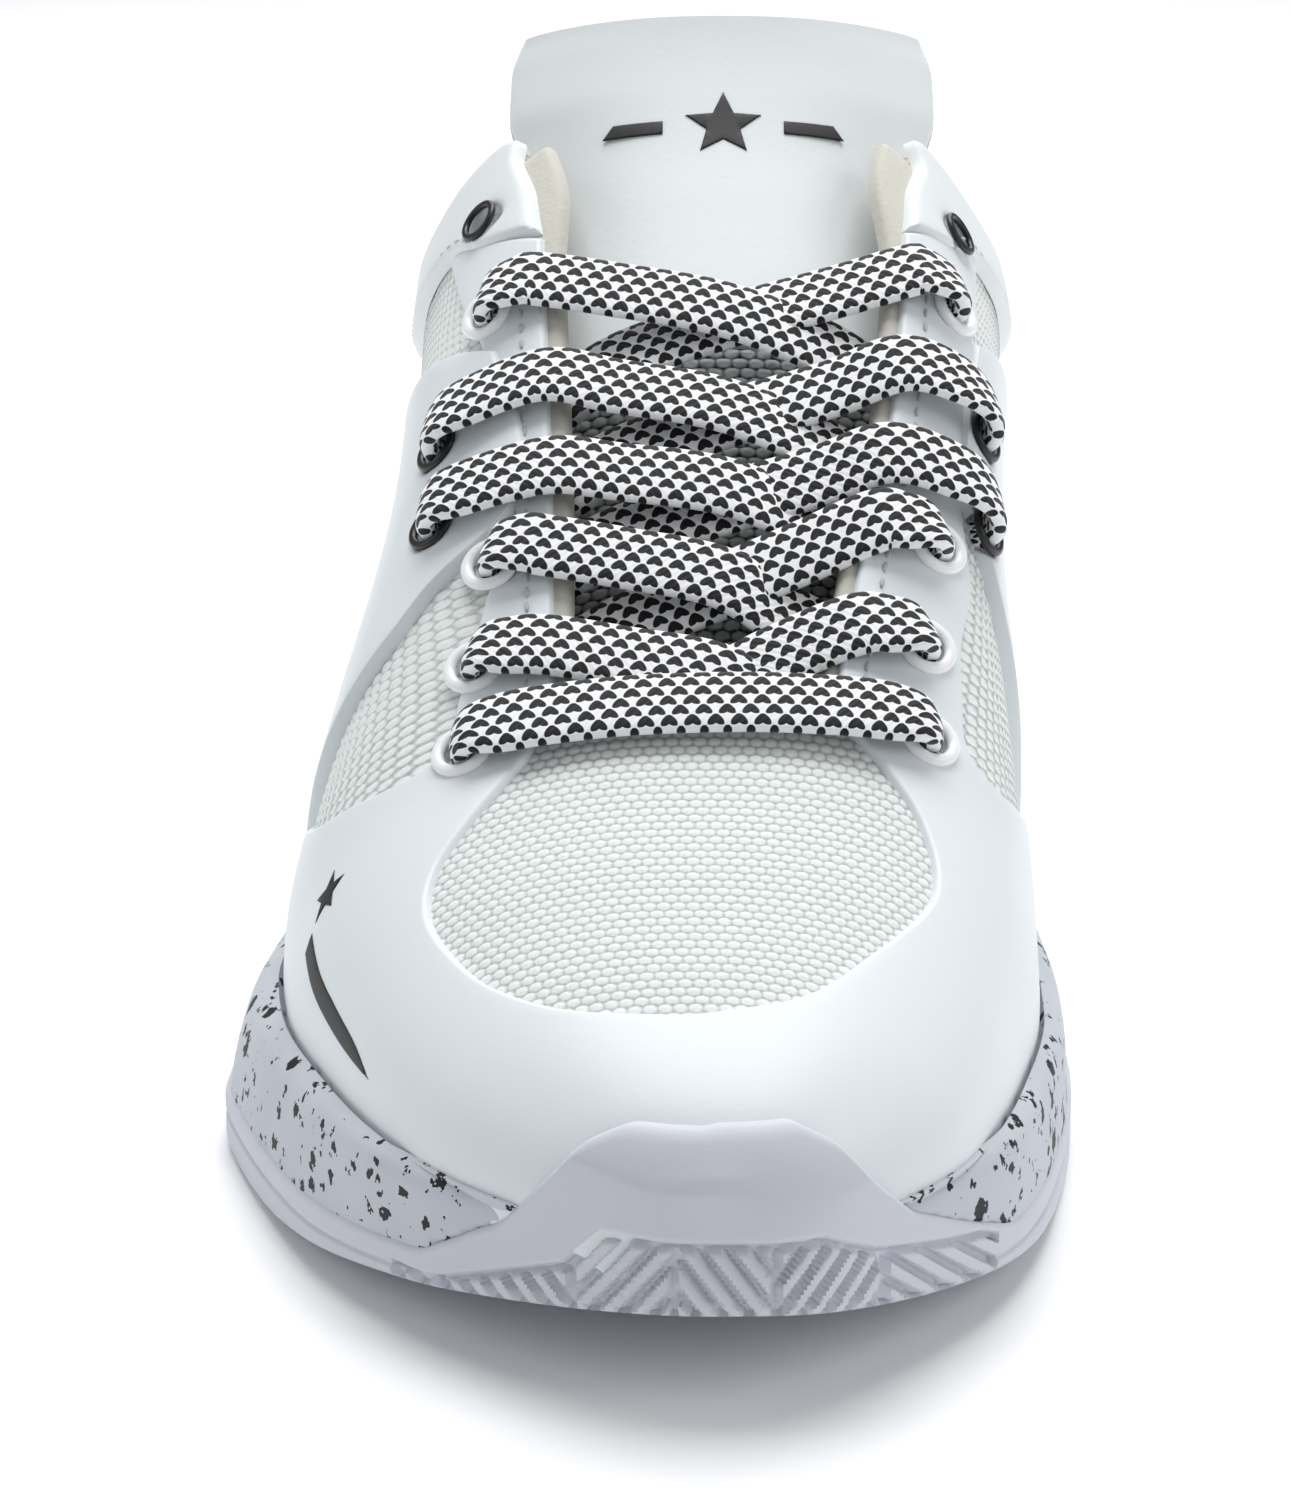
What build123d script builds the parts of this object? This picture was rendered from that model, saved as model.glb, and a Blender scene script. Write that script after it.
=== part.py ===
from build123d import *
import math
import os

os.makedirs("parts", exist_ok=True)

# A right-foot low-cut cheer shoe, toe towards -Y, lateral side towards -X, sole on Z = 0.
# All sizes are in millimetres.

# Overall sizes. The pattern tables are drawn for the sample size and graded from it.
LENGTH = 272.0
BALL_WIDTH = 108.4
TONGUE_HEIGHT = 130.0
SAMPLE_LENGTH = 272.0
SAMPLE_WIDTH = 108.4
SAMPLE_HEIGHT = 130.0
GX = BALL_WIDTH / SAMPLE_WIDTH
GY = LENGTH / SAMPLE_LENGTH
GZ = TONGUE_HEIGHT / SAMPLE_HEIGHT

# Sheet thicknesses, from the outside of the upper inwards
STRAP = 1.0
OVERLAY = 1.0
MESH = 1.6
EYESTAY_FOAM = 2.0
COUNTER = 1.5
TOE_PUFF = 1.2
PADDING = 6.0
LINING = 1.0
MESH_INNER = OVERLAY + MESH
FOAM_INNER = MESH_INNER + EYESTAY_FOAM
PAD_INNER = MESH_INNER + PADDING
LINING_INNER = PAD_INNER + LINING

# Sole and footbed
OUTSOLE_RIM = 7.5
BUMPER = 2.4
BUMPER_DEPTH = 16.0
GROOVE_WIDTH = 1.6
GROOVE_DEPTH = 1.5
FOREFOOT_GROOVES = (74, 82, 90, 98, 106, 114)
HEEL_GROOVES = (200, 208, 216, 224, 232)
BOARD = 1.5
SOCK_FOAM = 4.0
SOCK_CLOTH = 0.8
SOCK_GAP = 0.4
SOCK_INSET = 6.2

# Lace and eyelets
LACE = 3.2
EYELET_BORE = 4.6
EYELET_BARREL = 5.8
EYELET_FLANGE = 8.2
EYELET_PROUD = 0.8
FLANGE_SEAT = 0.3
HOLE_EXTRA = 5.0
LACE_OVER = 3.2
LACE_UNDER = FOAM_INNER + LACE / 2 + 1.2
LACE_BEND = 2.4
LACE_CURVE = 6.0
CROSSING_LIFT = 1.9
AGLET_LENGTH = 20.0
AGLET = 3.6

# Tongue
TONGUE_TOP = LACE_UNDER + LACE / 2 + 0.9
TONGUE_FACE = 1.0
TONGUE_FOAM = 4.0
TONGUE_LINING = 0.8

# Last: distance behind the toe, half widths at the feather line (lateral, medial), ridge
# height, ridge x, roundness and collar swell of the lateral side and of the medial side
LAST = [
    (3.0, -2.0, 14.0, 27.0, 7.0, 2.1, 2.1, 0.0, 0.0),
    (6.0, -8.5, 21.0, 30.5, 7.0, 2.2, 2.2, 0.0, 0.0),
    (11.6, -16.0, 27.5, 34.5, 6.5, 2.2, 2.2, 0.0, 0.0),
    (24.0, -27.0, 36.5, 40.0, 5.0, 2.2, 2.2, 0.0, 0.0),
    (46.0, -38.0, 44.0, 47.0, 4.0, 2.2, 2.4, 0.0, 0.0),
    (70.0, -45.5, 48.5, 55.0, 5.0, 2.2, 2.7, 0.0, 0.0),
    (85.0, -47.0, 49.0, 63.5, 6.0, 2.3, 3.1, 0.0, 0.0),
    (100.0, -45.0, 48.5, 75.0, 7.0, 2.5, 3.6, 0.0, 0.5),
    (125.0, -39.5, 46.5, 93.5, 9.0, 2.9, 4.2, 0.0, 2.5),
    (150.0, -34.0, 44.5, 112.0, 10.0, 3.4, 4.4, 2.0, 5.5),
    (175.0, -30.5, 43.5, 126.0, 9.0, 3.8, 4.6, 4.5, 8.5),
    (200.0, -28.5, 43.5, 133.0, 8.0, 4.0, 4.6, 6.0, 9.0),
    (225.0, -28.0, 42.5, 134.0, 8.0, 3.8, 4.0, 5.5, 7.0),
    (245.0, -24.0, 38.5, 132.0, 8.0, 3.4, 3.4, 4.0, 4.5),
    (258.0, -15.5, 30.5, 129.0, 8.0, 3.2, 3.2, 2.5, 2.5),
    (265.0, -6.0, 21.0, 126.0, 8.0, 3.0, 3.0, 1.0, 1.0),
    (268.5, 1.0, 14.0, 122.0, 8.0, 3.0, 3.0, 0.0, 0.0),
]
SWELL_HEIGHT = 84.0
SWELL_SPREAD = 22.0
TOE_RADIUS = 30.0
HEEL_RADIUS = 36.0
SECTION_DROP = 14.0

# Side profiles: distance behind the toe, height
FEATHER = [(-6, 20), (25, 19.5), (70, 19), (120, 20.5), (160, 24), (200, 27), (280, 29)]
GROUND_CURVE = [(-6, 14), (2, 11.4), (14, 8), (41, 2.6), (66, 0)]
HEEL_LIFT = [(252, 0), (280, 4)]
RIM_CURVE = [(-6, 18), (2, 15.5), (14, 12.5), (41, 9.0), (70, 7.8), (140, OUTSOLE_RIM), (280, 8)]
TOPLINE = [(163, 119), (170, 111), (185, 98), (205, 87), (225, 83), (248, 88), (262, 95), (275, 98)]

# Plan outlines: x, distance behind the toe
SOLE_OUTLINE = [
    (8, 0), (-4, 3.2), (-19.5, 13.8), (-29.5, 23), (-42, 41), (-52.4, 69), (-54.2, 84), (-50, 118),
    (-39, 160), (-33.5, 195), (-31.5, 230), (-20, 260), (8, 272), (36, 260), (47, 230),
    (48, 195), (47.5, 160), (50.5, 122), (54.2, 90), (50.8, 58), (41.7, 28.7), (22, 4.7),
]
MIDSOLE_TOP = [
    (8, 1.4), (-4.5, 5.0), (-18.5, 12.4), (-29.4, 24), (-40.4, 46), (-47.6, 70), (-49.2, 85), (-47, 100),
    (-42.2, 125), (-37, 150), (-33.5, 175), (-31.5, 205), (-30.5, 228), (-19, 257), (8, 270.4), (34, 257),
    (45, 228), (46, 200), (46.5, 165), (48.4, 125), (50.8, 90), (50, 70), (46.4, 46), (38.6, 24), (23, 6.5),
]
TOE_WINDOW = [
    (-12.55, 84), (-12.7, 79), (-16.6, 70.3), (-24, 60.5), (-26.7, 52), (-22.5, 39), (-12, 26.8), (3, 22.8),
    (17, 27), (28, 41.5), (33.6, 53), (33, 63.5), (27.5, 72), (23.2, 79), (23.6, 84),
]
THROAT_LATERAL = [(-12.6, 80), (-12.5, 92), (-12.8, 106), (-13.6, 122), (-14.6, 140), (-18.5, 165), (-21, 190)]
THROAT_MEDIAL = [(23, 82), (26.4, 96), (30.3, 111), (32.8, 126), (34.3, 141), (36.5, 165), (39, 190)]

# Side panels of the upper: distance behind the toe, height
LATERAL_STRAP = [
    (130, 91.4), (116, 83.0), (108, 77.0), (104, 72.5), (101.5, 66.4), (99, 60), (98, 48), (100, 15),
    (168, 15), (162, 45), (153, 72), (143, 85),
]
MEDIAL_STRAP = [
    (137, 91.5), (127, 86.6), (115, 79.2), (111, 74.5), (108, 67), (105, 60), (104, 48), (106, 15),
    (170, 15), (165, 45), (158, 70), (150, 84),
]
LATERAL_WINDOW = [(105, 74), (97, 67.8), (90, 61.7), (84, 57), (78.3, 53), (76.6, 49.8), (79, 45.6), (86, 40), (102, 36)]
MEDIAL_WINDOW = [(112, 75), (102, 66.8), (93, 61.4), (86.6, 56.5), (80.8, 52.4), (79, 49), (81, 45), (88, 40), (108, 36)]
QUARTER_WINDOW = [
    (132, 91), (144, 95.5), (156, 98.5), (164, 96), (176, 88), (190, 80), (214, 80), (209, 58), (209, 37), (150, 34),
]
COLLAR_SEAM = [(141, 104.5), (150, 102.5), (156, 99.5), (165, 91), (178, 80), (195, 72), (220, 68), (245, 72), (275, 78)]
HEEL_PANEL_EDGE = [(206, 10), (206, 60), (212, 72), (216, 90)]

# Eyelet rows from the toe upwards: x, distance behind the toe
LATERAL_EYELETS = [(-23.4, 76), (-22.3, 87.5), (-20.5, 100), (-28.0, 110.5), (-27.7, 123.5), (-22.0, 137.5)]
MEDIAL_EYELETS = [(34.6, 77.5), (34.8, 89.5), (37.0, 102.5), (43.2, 111.5), (43.6, 124), (41.0, 138)]
TOP_EYELETS = [(-23.0, 154), (42.0, 154)]
STRAP_ROWS = (3, 4)

# Tongue outlines: x, distance behind the toe
TONGUE_LOWER = [(-11.5, 79), (-19, 96), (-19, 125), (-20, 160), (39, 160), (36.5, 125), (31.5, 96), (21.5, 79)]
TIP_CENTRE = 10.0

# Lower limit of the tongue's sides: distance behind the toe, height
TONGUE_FLOOR = [(60, 26), (170, 82)]

# Tongue tip: distance behind the toe, height, width, depth of its arch
TIP_STATIONS = [
    (160.9, 104.5, 50, 6.5),
    (165, 111, 52, 6.5),
    (172, 120.5, 55, 6),
    (176, 126.5, 51, 5.5),
    (178.5, 129.4, 42, 4),
]

# Edges of the throat that the lace passes
LATERAL_EDGE_X = -13.0
MEDIAL_EDGE_X = [23.5, 25.0, 28.0, 31.0, 33.0, 34.5]
# Each tucked end from its tip upwards: x, distance behind the toe, height
LATERAL_TAIL = [(-25.0, 142, 66), (-22.7, 139, 82)]
MEDIAL_TAIL = [(39.2, 142, 66), (40.0, 139, 82)]


def grade(x, s):
    return (x * GX, s * GY - LENGTH / 2)


def profile_point(s, z):
    return (s * GY - LENGTH / 2, z * GZ)


def height_at(table, s):
    """Height of a side profile at a distance behind the toe."""
    for (s0, z0), (s1, z1) in zip(table, table[1:]):
        if s <= s1:
            return z0 + (z1 - z0) * (s - s0) / (s1 - s0)
    return table[-1][1]


def last_section(row, depth):
    """One closed cross section of the last, moved inwards by a depth."""
    s, lateral, medial, ridge, ridge_x, n_lateral, n_medial, swell_lateral, swell_medial = row
    toe_share = min(1.0, max(0.0, (TOE_RADIUS + 3.0 - s) / TOE_RADIUS))
    heel_share = min(1.0, max(0.0, (s - 268.5 + HEEL_RADIUS) / HEEL_RADIUS))
    shifted = s + depth * (toe_share - heel_share)
    slope = 0.78 if 60 < s < 185 else 0.25
    drop = depth * math.hypot(1.0, slope) * max(0.45, 1.0 - toe_share)
    base = height_at(FEATHER, s)
    top = ridge - drop
    sides = []
    for edge, roundness, swell, sign in (
        (lateral, n_lateral, swell_lateral, -1.0),
        (medial, n_medial, swell_medial, 1.0),
    ):
        half = abs(edge - ridge_x)
        half -= depth * min(1.0, half / TOE_RADIUS)
        points = []
        for step in range(8):
            angle = step * math.pi / 16
            z = base + (top - base) * math.sin(angle) ** (2 / roundness)
            x = half * math.cos(angle) ** (2 / roundness)
            x += swell * math.exp(-(((z - SWELL_HEIGHT) / SWELL_SPREAD) ** 2))
            points.append((ridge_x + sign * x, z))
        sides.append(points)
    crown = [(ridge_x, top)]
    arch = sides[0] + crown + sides[1][::-1]
    y = shifted * GY - LENGTH / 2
    arch_points = [(x * GX, y, z * GZ) for x, z in arch]
    first = arch_points[0]
    final = arch_points[-1]
    low_first = (first[0], y, first[2] - SECTION_DROP)
    low_final = (final[0], y, final[2] - SECTION_DROP)
    edges = [
        Line(low_first, first),
        Spline(*arch_points),
        Line(final, low_final),
        Line(low_final, low_first),
    ]
    return Wire(edges)


def last_form(depth, start=0.0, end=300.0):
    """Solid of the last between two stations, moved inwards by a depth."""
    return Solid.make_loft([last_section(row, depth) for row in LAST if start <= row[0] <= end])


def smooth_profile(points):
    return Spline(*[profile_point(s, z) for s, z in points])


def straight_profile(points):
    return Polyline(*[profile_point(s, z) for s, z in points])


def ground_profile(height):
    """Underside of the sole: toe spring, flat, and a slight lift at the heel."""
    spring = [profile_point(s, z + height) for s, z in GROUND_CURVE]
    flat = [profile_point(s, z + height) for s, z in GROUND_CURVE[-1:] + HEEL_LIFT]
    return Spline(*spring, tangents=[(1, -0.35), (1, 0)]).edges() + Polyline(*flat).edges()


def slab_between(low, high, reach=90.0):
    """Solid across the whole width between two side profiles that both run backwards."""
    low_edges = low if isinstance(low, list) else low.edges()
    high_edges = high if isinstance(high, list) else high.edges()
    low_start, low_end = low_edges[0] @ 0, low_edges[-1] @ 1
    high_start, high_end = high_edges[0] @ 0, high_edges[-1] @ 1
    ends = [Line(low_start, high_start), Line(low_end, high_end)]
    face = make_face(list(low_edges) + list(high_edges) + ends)
    return extrude(Plane.YZ * face, amount=reach, both=True)


def side_prism(points, side):
    """Solid cut out of one half of the shoe by an outline in side view."""
    flat = [profile_point(s, z) for s, z in points]
    face = make_face(Polyline(*flat, close=True))
    placed = Plane.YZ.offset(8.0 * GX) * face
    return extrude(placed, amount=side * 90.0)


def plan_prism(points, height=200.0):
    flat = [grade(x, s) for x, s in points]
    return extrude(make_face(Polyline(*flat, close=True)), amount=height)


def outline_face(points):
    flat = [grade(x, s) for x, s in points]
    return make_face(Spline(*flat, periodic=True))


def save(shape, name):
    solids = shape.solids()
    total = sum(solid.volume for solid in solids)
    print(f"{name:26s} solids {len(solids):3d} volume {total:10.1f}")
    export_step(shape, f"parts/{name}.step")


# ---- space above and below the footbed
FAR_ABOVE = [(-6, 260), (280, 260)]
FAR_BELOW = [(-6, -60), (280, -60)]
above_footbed = slab_between(smooth_profile(FEATHER), straight_profile(FAR_ABOVE))
below_footbed = slab_between(straight_profile(FAR_BELOW), smooth_profile(FEATHER))
above_board = slab_between(smooth_profile([(s, z + BOARD) for s, z in FEATHER]), straight_profile(FAR_ABOVE))


def footbed_layer(low, high):
    """Sheet that follows the footbed between two heights above it."""
    lower = [(s, z + low) for s, z in FEATHER]
    upper = [(s, z + high) for s, z in FEATHER]
    return slab_between(smooth_profile(lower), smooth_profile(upper))


# ---- cutting shapes for the opening of the upper
throat_points = THROAT_LATERAL + THROAT_MEDIAL[::-1]
throat_cut = plan_prism(throat_points)
topline_points = [(190, 260), (163, 260)] + TOPLINE + [(300, 98), (300, 260)]
topline_face = make_face(Polyline(*[profile_point(s, z) for s, z in topline_points], close=True))
topline_cut = extrude(Plane.YZ * topline_face, amount=90.0, both=True)


def trimmed(shape):
    """Part of an upper layer that stays after trimming at the feather line and the opening."""
    return (shape & above_footbed) - throat_cut - topline_cut


strap_form = last_form(-STRAP)
outer_form = last_form(0.0)
mesh_form = last_form(OVERLAY)
inner_form = last_form(MESH_INNER)
foam_form = last_form(FOAM_INNER)
counter_form = last_form(MESH_INNER + COUNTER, 120.0)
pad_form = last_form(PAD_INNER, 120.0)
lining_form = last_form(LINING_INNER, 120.0)

# ---- sole
outline = outline_face(SOLE_OUTLINE)
sole_block = extrude(outline, amount=60.0)
under_rim = slab_between(straight_profile(FAR_BELOW), smooth_profile(RIM_CURVE))
above_ground = slab_between(ground_profile(0.0), straight_profile([(-6, 90), (280, 90)]))
outsole = (sole_block & under_rim) & above_ground

bumper_face = make_face(
    Polyline((-34 * GX, 6 * GZ), (-17 * GX, 18.5 * GZ), (-8.2 * GX, 30.2 * GZ), (-3 * GX, 32.4 * GZ),
             (16 * GX, 32.6 * GZ), (21 * GX, 30.2 * GZ), (29.5 * GX, 19.5 * GZ), (48 * GX, 6 * GZ), close=True)
)
bumper_zone = Plane.XZ.offset(LENGTH / 2 + 20) * bumper_face
bumper_zone = extrude(bumper_zone, amount=-(20 + BUMPER_DEPTH * GY))
upper_body = outer_form & above_footbed
shield = (last_form(-BUMPER, 0.0, 90.0) & above_footbed) - upper_body
toe_core = (sole_block & below_footbed) & above_ground
bumper = (shield + toe_core) & bumper_zone
outsole = outsole + bumper


def shrunk(points, across, lengthwise):
    middle = SAMPLE_LENGTH / 2
    return [(x * across, middle + (s - middle) * lengthwise) for x, s in points]


midsole_loft = loft([
    Plane.XY.offset(2.0) * outline_face(shrunk(SOLE_OUTLINE, 0.985, 0.992)),
    Plane.XY.offset(13.0 * GZ) * outline_face(shrunk(SOLE_OUTLINE, 0.975, 0.988)),
    Plane.XY.offset(31.0 * GZ) * outline_face(MIDSOLE_TOP),
])
midsole = ((midsole_loft & below_footbed) - under_rim) - bumper

# ---- tread: zigzag grooves across the flat part of the forefoot and the heel
def zigzag_groove(s, first_x, teeth):
    front = [(first_x + step * 10.0, s + (5.0 if step % 2 else 0.0)) for step in range(teeth)]
    back = [(x, y + GROOVE_WIDTH) for x, y in front[::-1]]
    face = make_face(Polyline(*[grade(x, y) for x, y in front + back], close=True))
    return extrude(face, amount=GROOVE_DEPTH)


for position in FOREFOOT_GROOVES:
    outsole = outsole - zigzag_groove(position, -40.0, 9)
for position in HEEL_GROOVES:
    outsole = outsole - zigzag_groove(position, -22.0, 7)

# ---- eyelets: each is a flange on the outside and a barrel through all the layers
def outer_point(form, x, s):
    """Point and outward normal of the top surface of a form."""
    px, py = grade(x, s)
    hits = form.find_intersection_points(Axis((px, py, 300.0), (0, 0, -1)))
    point, normal = max(hits, key=lambda hit: hit[0].Z)
    return point, normal if normal.Z > 0 else normal * -1


def eyelet(point, normal, depth):
    """An eyelet, and the hole that takes it, which goes on past the innermost layer."""
    plane = Plane(origin=point, z_dir=normal)
    flange = Pos(0, 0, -FLANGE_SEAT) * extrude(Circle(EYELET_FLANGE / 2), amount=EYELET_PROUD + FLANGE_SEAT)
    barrel = extrude(Circle(EYELET_BARREL / 2), amount=-depth)
    bore = Pos(0, 0, -20) * extrude(Circle(EYELET_BORE / 2), amount=40)
    hole = flange + extrude(Circle(EYELET_BARREL / 2), amount=-(depth + HOLE_EXTRA))
    return plane * ((flange + barrel) - bore), plane * hole


def eyelet_set(places, form, depth):
    rings = []
    envelopes = []
    for x, s in places:
        point, normal = outer_point(form, x, s)
        ring, envelope = eyelet(point, normal, depth)
        rings.append(ring)
        envelopes.append(envelope)
    return rings, envelopes


def pick(rows, wanted):
    return [row for index, row in enumerate(rows) if (index in STRAP_ROWS) == wanted]


white_lateral, white_lateral_cut = eyelet_set(pick(LATERAL_EYELETS, False), outer_form, FOAM_INNER)
white_medial, white_medial_cut = eyelet_set(pick(MEDIAL_EYELETS, False), outer_form, FOAM_INNER)
black_lateral, black_lateral_cut = eyelet_set(pick(LATERAL_EYELETS, True), strap_form, FOAM_INNER + STRAP)
black_medial, black_medial_cut = eyelet_set(pick(MEDIAL_EYELETS, True), strap_form, FOAM_INNER + STRAP)
top_rings, top_cuts = eyelet_set(TOP_EYELETS, strap_form, FOAM_INNER + STRAP)
eyelet_cuts = white_lateral_cut + white_medial_cut + black_lateral_cut + black_medial_cut + top_cuts


def pierced(shape):
    return shape - eyelet_cuts


# ---- upper layers
lateral_strap_zone = side_prism(LATERAL_STRAP, -1)
medial_strap_zone = side_prism(MEDIAL_STRAP, 1)
lateral_quarter_zone = side_prism(QUARTER_WINDOW, -1)
medial_quarter_zone = side_prism([(s + 3, z) for s, z in QUARTER_WINDOW], 1)
heel_zone_points = HEEL_PANEL_EDGE + [(300, 90), (300, 10)]
heel_zone = extrude(
    Plane.YZ * make_face(Polyline(*[profile_point(s, z) for s, z in heel_zone_points], close=True)),
    amount=90.0, both=True,
)
collar_points = COLLAR_SEAM + [(300, 78), (300, 250), (141, 250)]
collar_face = Plane.YZ * make_face(Polyline(*[profile_point(s, z) for s, z in collar_points], close=True))
collar_zone = extrude(collar_face, amount=90.0, both=True)
lateral_half = extrude(Plane.YZ.offset(8.0 * GX) * Rectangle(800, 800), amount=-90.0)
medial_half = extrude(Plane.YZ.offset(8.0 * GX) * Rectangle(800, 800), amount=90.0)

mesh_upper = pierced(trimmed(mesh_form - inner_form))
film = trimmed(outer_form - mesh_form)
film = film - plan_prism(TOE_WINDOW)
film = film - side_prism(LATERAL_WINDOW, -1) - side_prism(MEDIAL_WINDOW, 1)
film = film - lateral_quarter_zone - medial_quarter_zone
film_behind = film - collar_zone
toe_overlay = pierced(film_behind - heel_zone)
heel_panel = film_behind & heel_zone
strap_shell = trimmed(strap_form - outer_form)
collar_shell = trimmed(strap_form - mesh_form) & collar_zone
lateral_strap = pierced(strap_shell & lateral_strap_zone)
medial_strap = pierced(strap_shell & medial_strap_zone)
lateral_collar = pierced((collar_shell & lateral_half) - lateral_strap_zone)
medial_collar = pierced((collar_shell & medial_half) - medial_strap_zone)

foam_shell = trimmed(inner_form - foam_form)
lateral_stay = plan_prism([(-60, 80), (-10, 80), (-10, 170), (-60, 170)])
medial_stay = plan_prism([(20, 82), (60, 82), (60, 170), (20, 170)])
stay_floor = slab_between(straight_profile([(60, 44), (170, 88)]), straight_profile([(60, 260), (170, 260)]))
lateral_backing = pierced((foam_shell & lateral_stay) & stay_floor)
medial_backing = pierced((foam_shell & medial_stay) & stay_floor)

toe_puff_zone = slab_between(straight_profile([(-6, 8), (19, 8)]), straight_profile([(-6, 90), (19, 90)]))
toe_puff = ((inner_form & toe_puff_zone) & above_board) - last_form(MESH_INNER + TOE_PUFF)

counter_zone = slab_between(straight_profile([(214, 0), (280, 0)]), straight_profile([(214, 52), (280, 66)]))
heel_counter = ((inner_form & counter_zone) & above_board) - counter_form
pad_zone = slab_between(
    straight_profile([(158, 84), (180, 66), (205, 56), (280, 56)]),
    straight_profile([(158, 250), (280, 250)]),
)
collar_block = trimmed(inner_form & pad_zone)
collar_padding = ((collar_block - pad_form) - heel_counter) - lateral_backing - medial_backing
collar_padding = pierced(collar_padding)
collar_lining = trimmed(pad_form & pad_zone) - lining_form

# ---- inside: lasting board and sockliner on the footbed
lasting_board = (inner_form & above_footbed) - above_board
sock_form = last_form(SOCK_INSET)
sock_base = BOARD + SOCK_GAP
sock_foam = sock_form & footbed_layer(sock_base, sock_base + SOCK_FOAM)
sock_cloth = sock_form & footbed_layer(sock_base + SOCK_FOAM, sock_base + SOCK_FOAM + SOCK_CLOTH)

# ---- tongue: lower part under the lace, and a padded tip that stands above the collar
tongue_zone = plan_prism(TONGUE_LOWER)
above_tongue_floor = slab_between(straight_profile(TONGUE_FLOOR), straight_profile([(60, 260), (170, 260)]))
tongue_zone = tongue_zone & above_tongue_floor
layer_depths = [
    TONGUE_TOP,
    TONGUE_TOP + TONGUE_FACE,
    TONGUE_TOP + TONGUE_FACE + TONGUE_FOAM,
    TONGUE_TOP + TONGUE_FACE + TONGUE_FOAM + TONGUE_LINING,
]
# Neighbouring forms span different stations, so their end faces never coincide
tongue_spans = [(20.0, 250.0), (40.0, 230.0), (20.0, 250.0), (40.0, 230.0)]
tongue_forms = [last_form(depth, *span) for depth, span in zip(layer_depths, tongue_spans)]
tongue_face, tongue_foam, tongue_lining = [
    (outer & tongue_zone) - inner for outer, inner in zip(tongue_forms, tongue_forms[1:])
]


def tip_layer(front, back):
    """Curved slab of the tongue tip between two depths behind its front face."""
    sections = []
    for s, z, width, arch in TIP_STATIONS:
        y = s * GY - LENGTH / 2
        plane = Plane(origin=(TIP_CENTRE * GX, y, z * GZ), x_dir=(1, 0, 0), z_dir=(0, 0.62, 0.785))
        half = width * GX / 2
        face_line = [(-half, arch + front), (-half / 2, arch / 4 + front), (0, front),
                     (half / 2, arch / 4 + front), (half, arch + front)]
        back_line = [(x, depth - front + back) for x, depth in face_line[::-1]]
        edges = [Spline(*face_line), Line(face_line[-1], back_line[0]), Spline(*back_line),
                 Line(back_line[-1], face_line[0])]
        sections.append(plane * make_face(edges))
    return loft(sections)


tip_cover = tip_layer(0.0, 1.2)
tip_foam = tip_layer(1.2, 8.0)
tip_lining = tip_layer(8.0, 9.0)

# ---- lace: one length through twelve eyelets, each run ending under the opposite eyestay
def along(x, s, height):
    point, normal = outer_point(outer_form, x, s)
    return point + normal * height


def lace_eyelet(side, row):
    places = LATERAL_EYELETS if side < 0 else MEDIAL_EYELETS
    x, s = places[row]
    form = strap_form if row in STRAP_ROWS else outer_form
    point, normal = outer_point(form, x, s)
    deeper = STRAP if row in STRAP_ROWS else 0.0
    return point + normal * LACE_OVER, point - normal * (LACE_UNDER + deeper)


def edge_x(side, row):
    return LATERAL_EDGE_X if side < 0 else MEDIAL_EDGE_X[row]


def lace_run(side, row):
    """Over the tongue from the top of one eyelet to below the next row on the other side."""
    places = LATERAL_EYELETS if side < 0 else MEDIAL_EYELETS
    others = MEDIAL_EYELETS if side < 0 else LATERAL_EYELETS
    x, s = places[row]
    over, _ = lace_eyelet(side, row)
    _, under_next = lace_eyelet(-side, row - 1)
    next_s = others[row - 1][1]
    points = [(over, LACE_BEND)]
    if row in STRAP_ROWS:
        points.append((along(x - side * 7.0, s, LACE_OVER + STRAP + 0.6), LACE_CURVE))
    points.append((along(edge_x(side, row), s - 0.5, LACE_OVER + 0.4), LACE_CURVE))
    # The crossing nearest the toe stands back from the front edge of the throat
    share = 0.8 if row == 1 else 0.5
    middle_s = share * s + (1 - share) * next_s
    middle_height = (LACE_OVER - LACE_UNDER) / 2 - side * CROSSING_LIFT
    points.append((along(TIP_CENTRE, middle_s, middle_height), LACE_CURVE))
    points.append((along(edge_x(-side, row - 1) + side * 2.5, next_s + 0.5, -LACE_UNDER - 0.4), LACE_BEND))
    points.append((under_next, LACE_BEND))
    return points


def strand(first_side):
    """From a top eyelet down to the toe row, changing side at every row."""
    points = [(lace_eyelet(first_side, 5)[1], LACE_BEND)]
    side = first_side
    for row in range(5, 0, -1):
        points += lace_run(side, row)
        side = -side
    points.append((lace_eyelet(side, 0)[0], LACE_BEND))
    return points


lateral_low, lateral_high = [Vector(*grade(x, s), z * GZ) for x, s, z in LATERAL_TAIL]
medial_low, medial_high = [Vector(*grade(x, s), z * GZ) for x, s, z in MEDIAL_TAIL]
bar = [(along(MEDIAL_EDGE_X[0], 76.5, LACE_OVER + 0.6), LACE_CURVE),
       (along(5.0, 76.0, LACE_OVER + 0.8), LACE_CURVE),
       (along(LATERAL_EDGE_X, 76.2, LACE_OVER + 0.6), LACE_CURVE)]
route = [(lateral_low, 0), (lateral_high, 3.0)] + strand(-1) + bar + strand(1)[::-1]
route += [(medial_high, 3.0), (medial_low, 0)]
route_points = [tuple(point) for point, _ in route]
route_radii = [radius for _, radius in route[1:-1]]
print("lace radii", route_radii)
lace_path = FilletPolyline(*route_points, radius=route_radii)
lace_start = Plane(origin=lace_path @ 0, z_dir=lace_path % 0)
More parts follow.
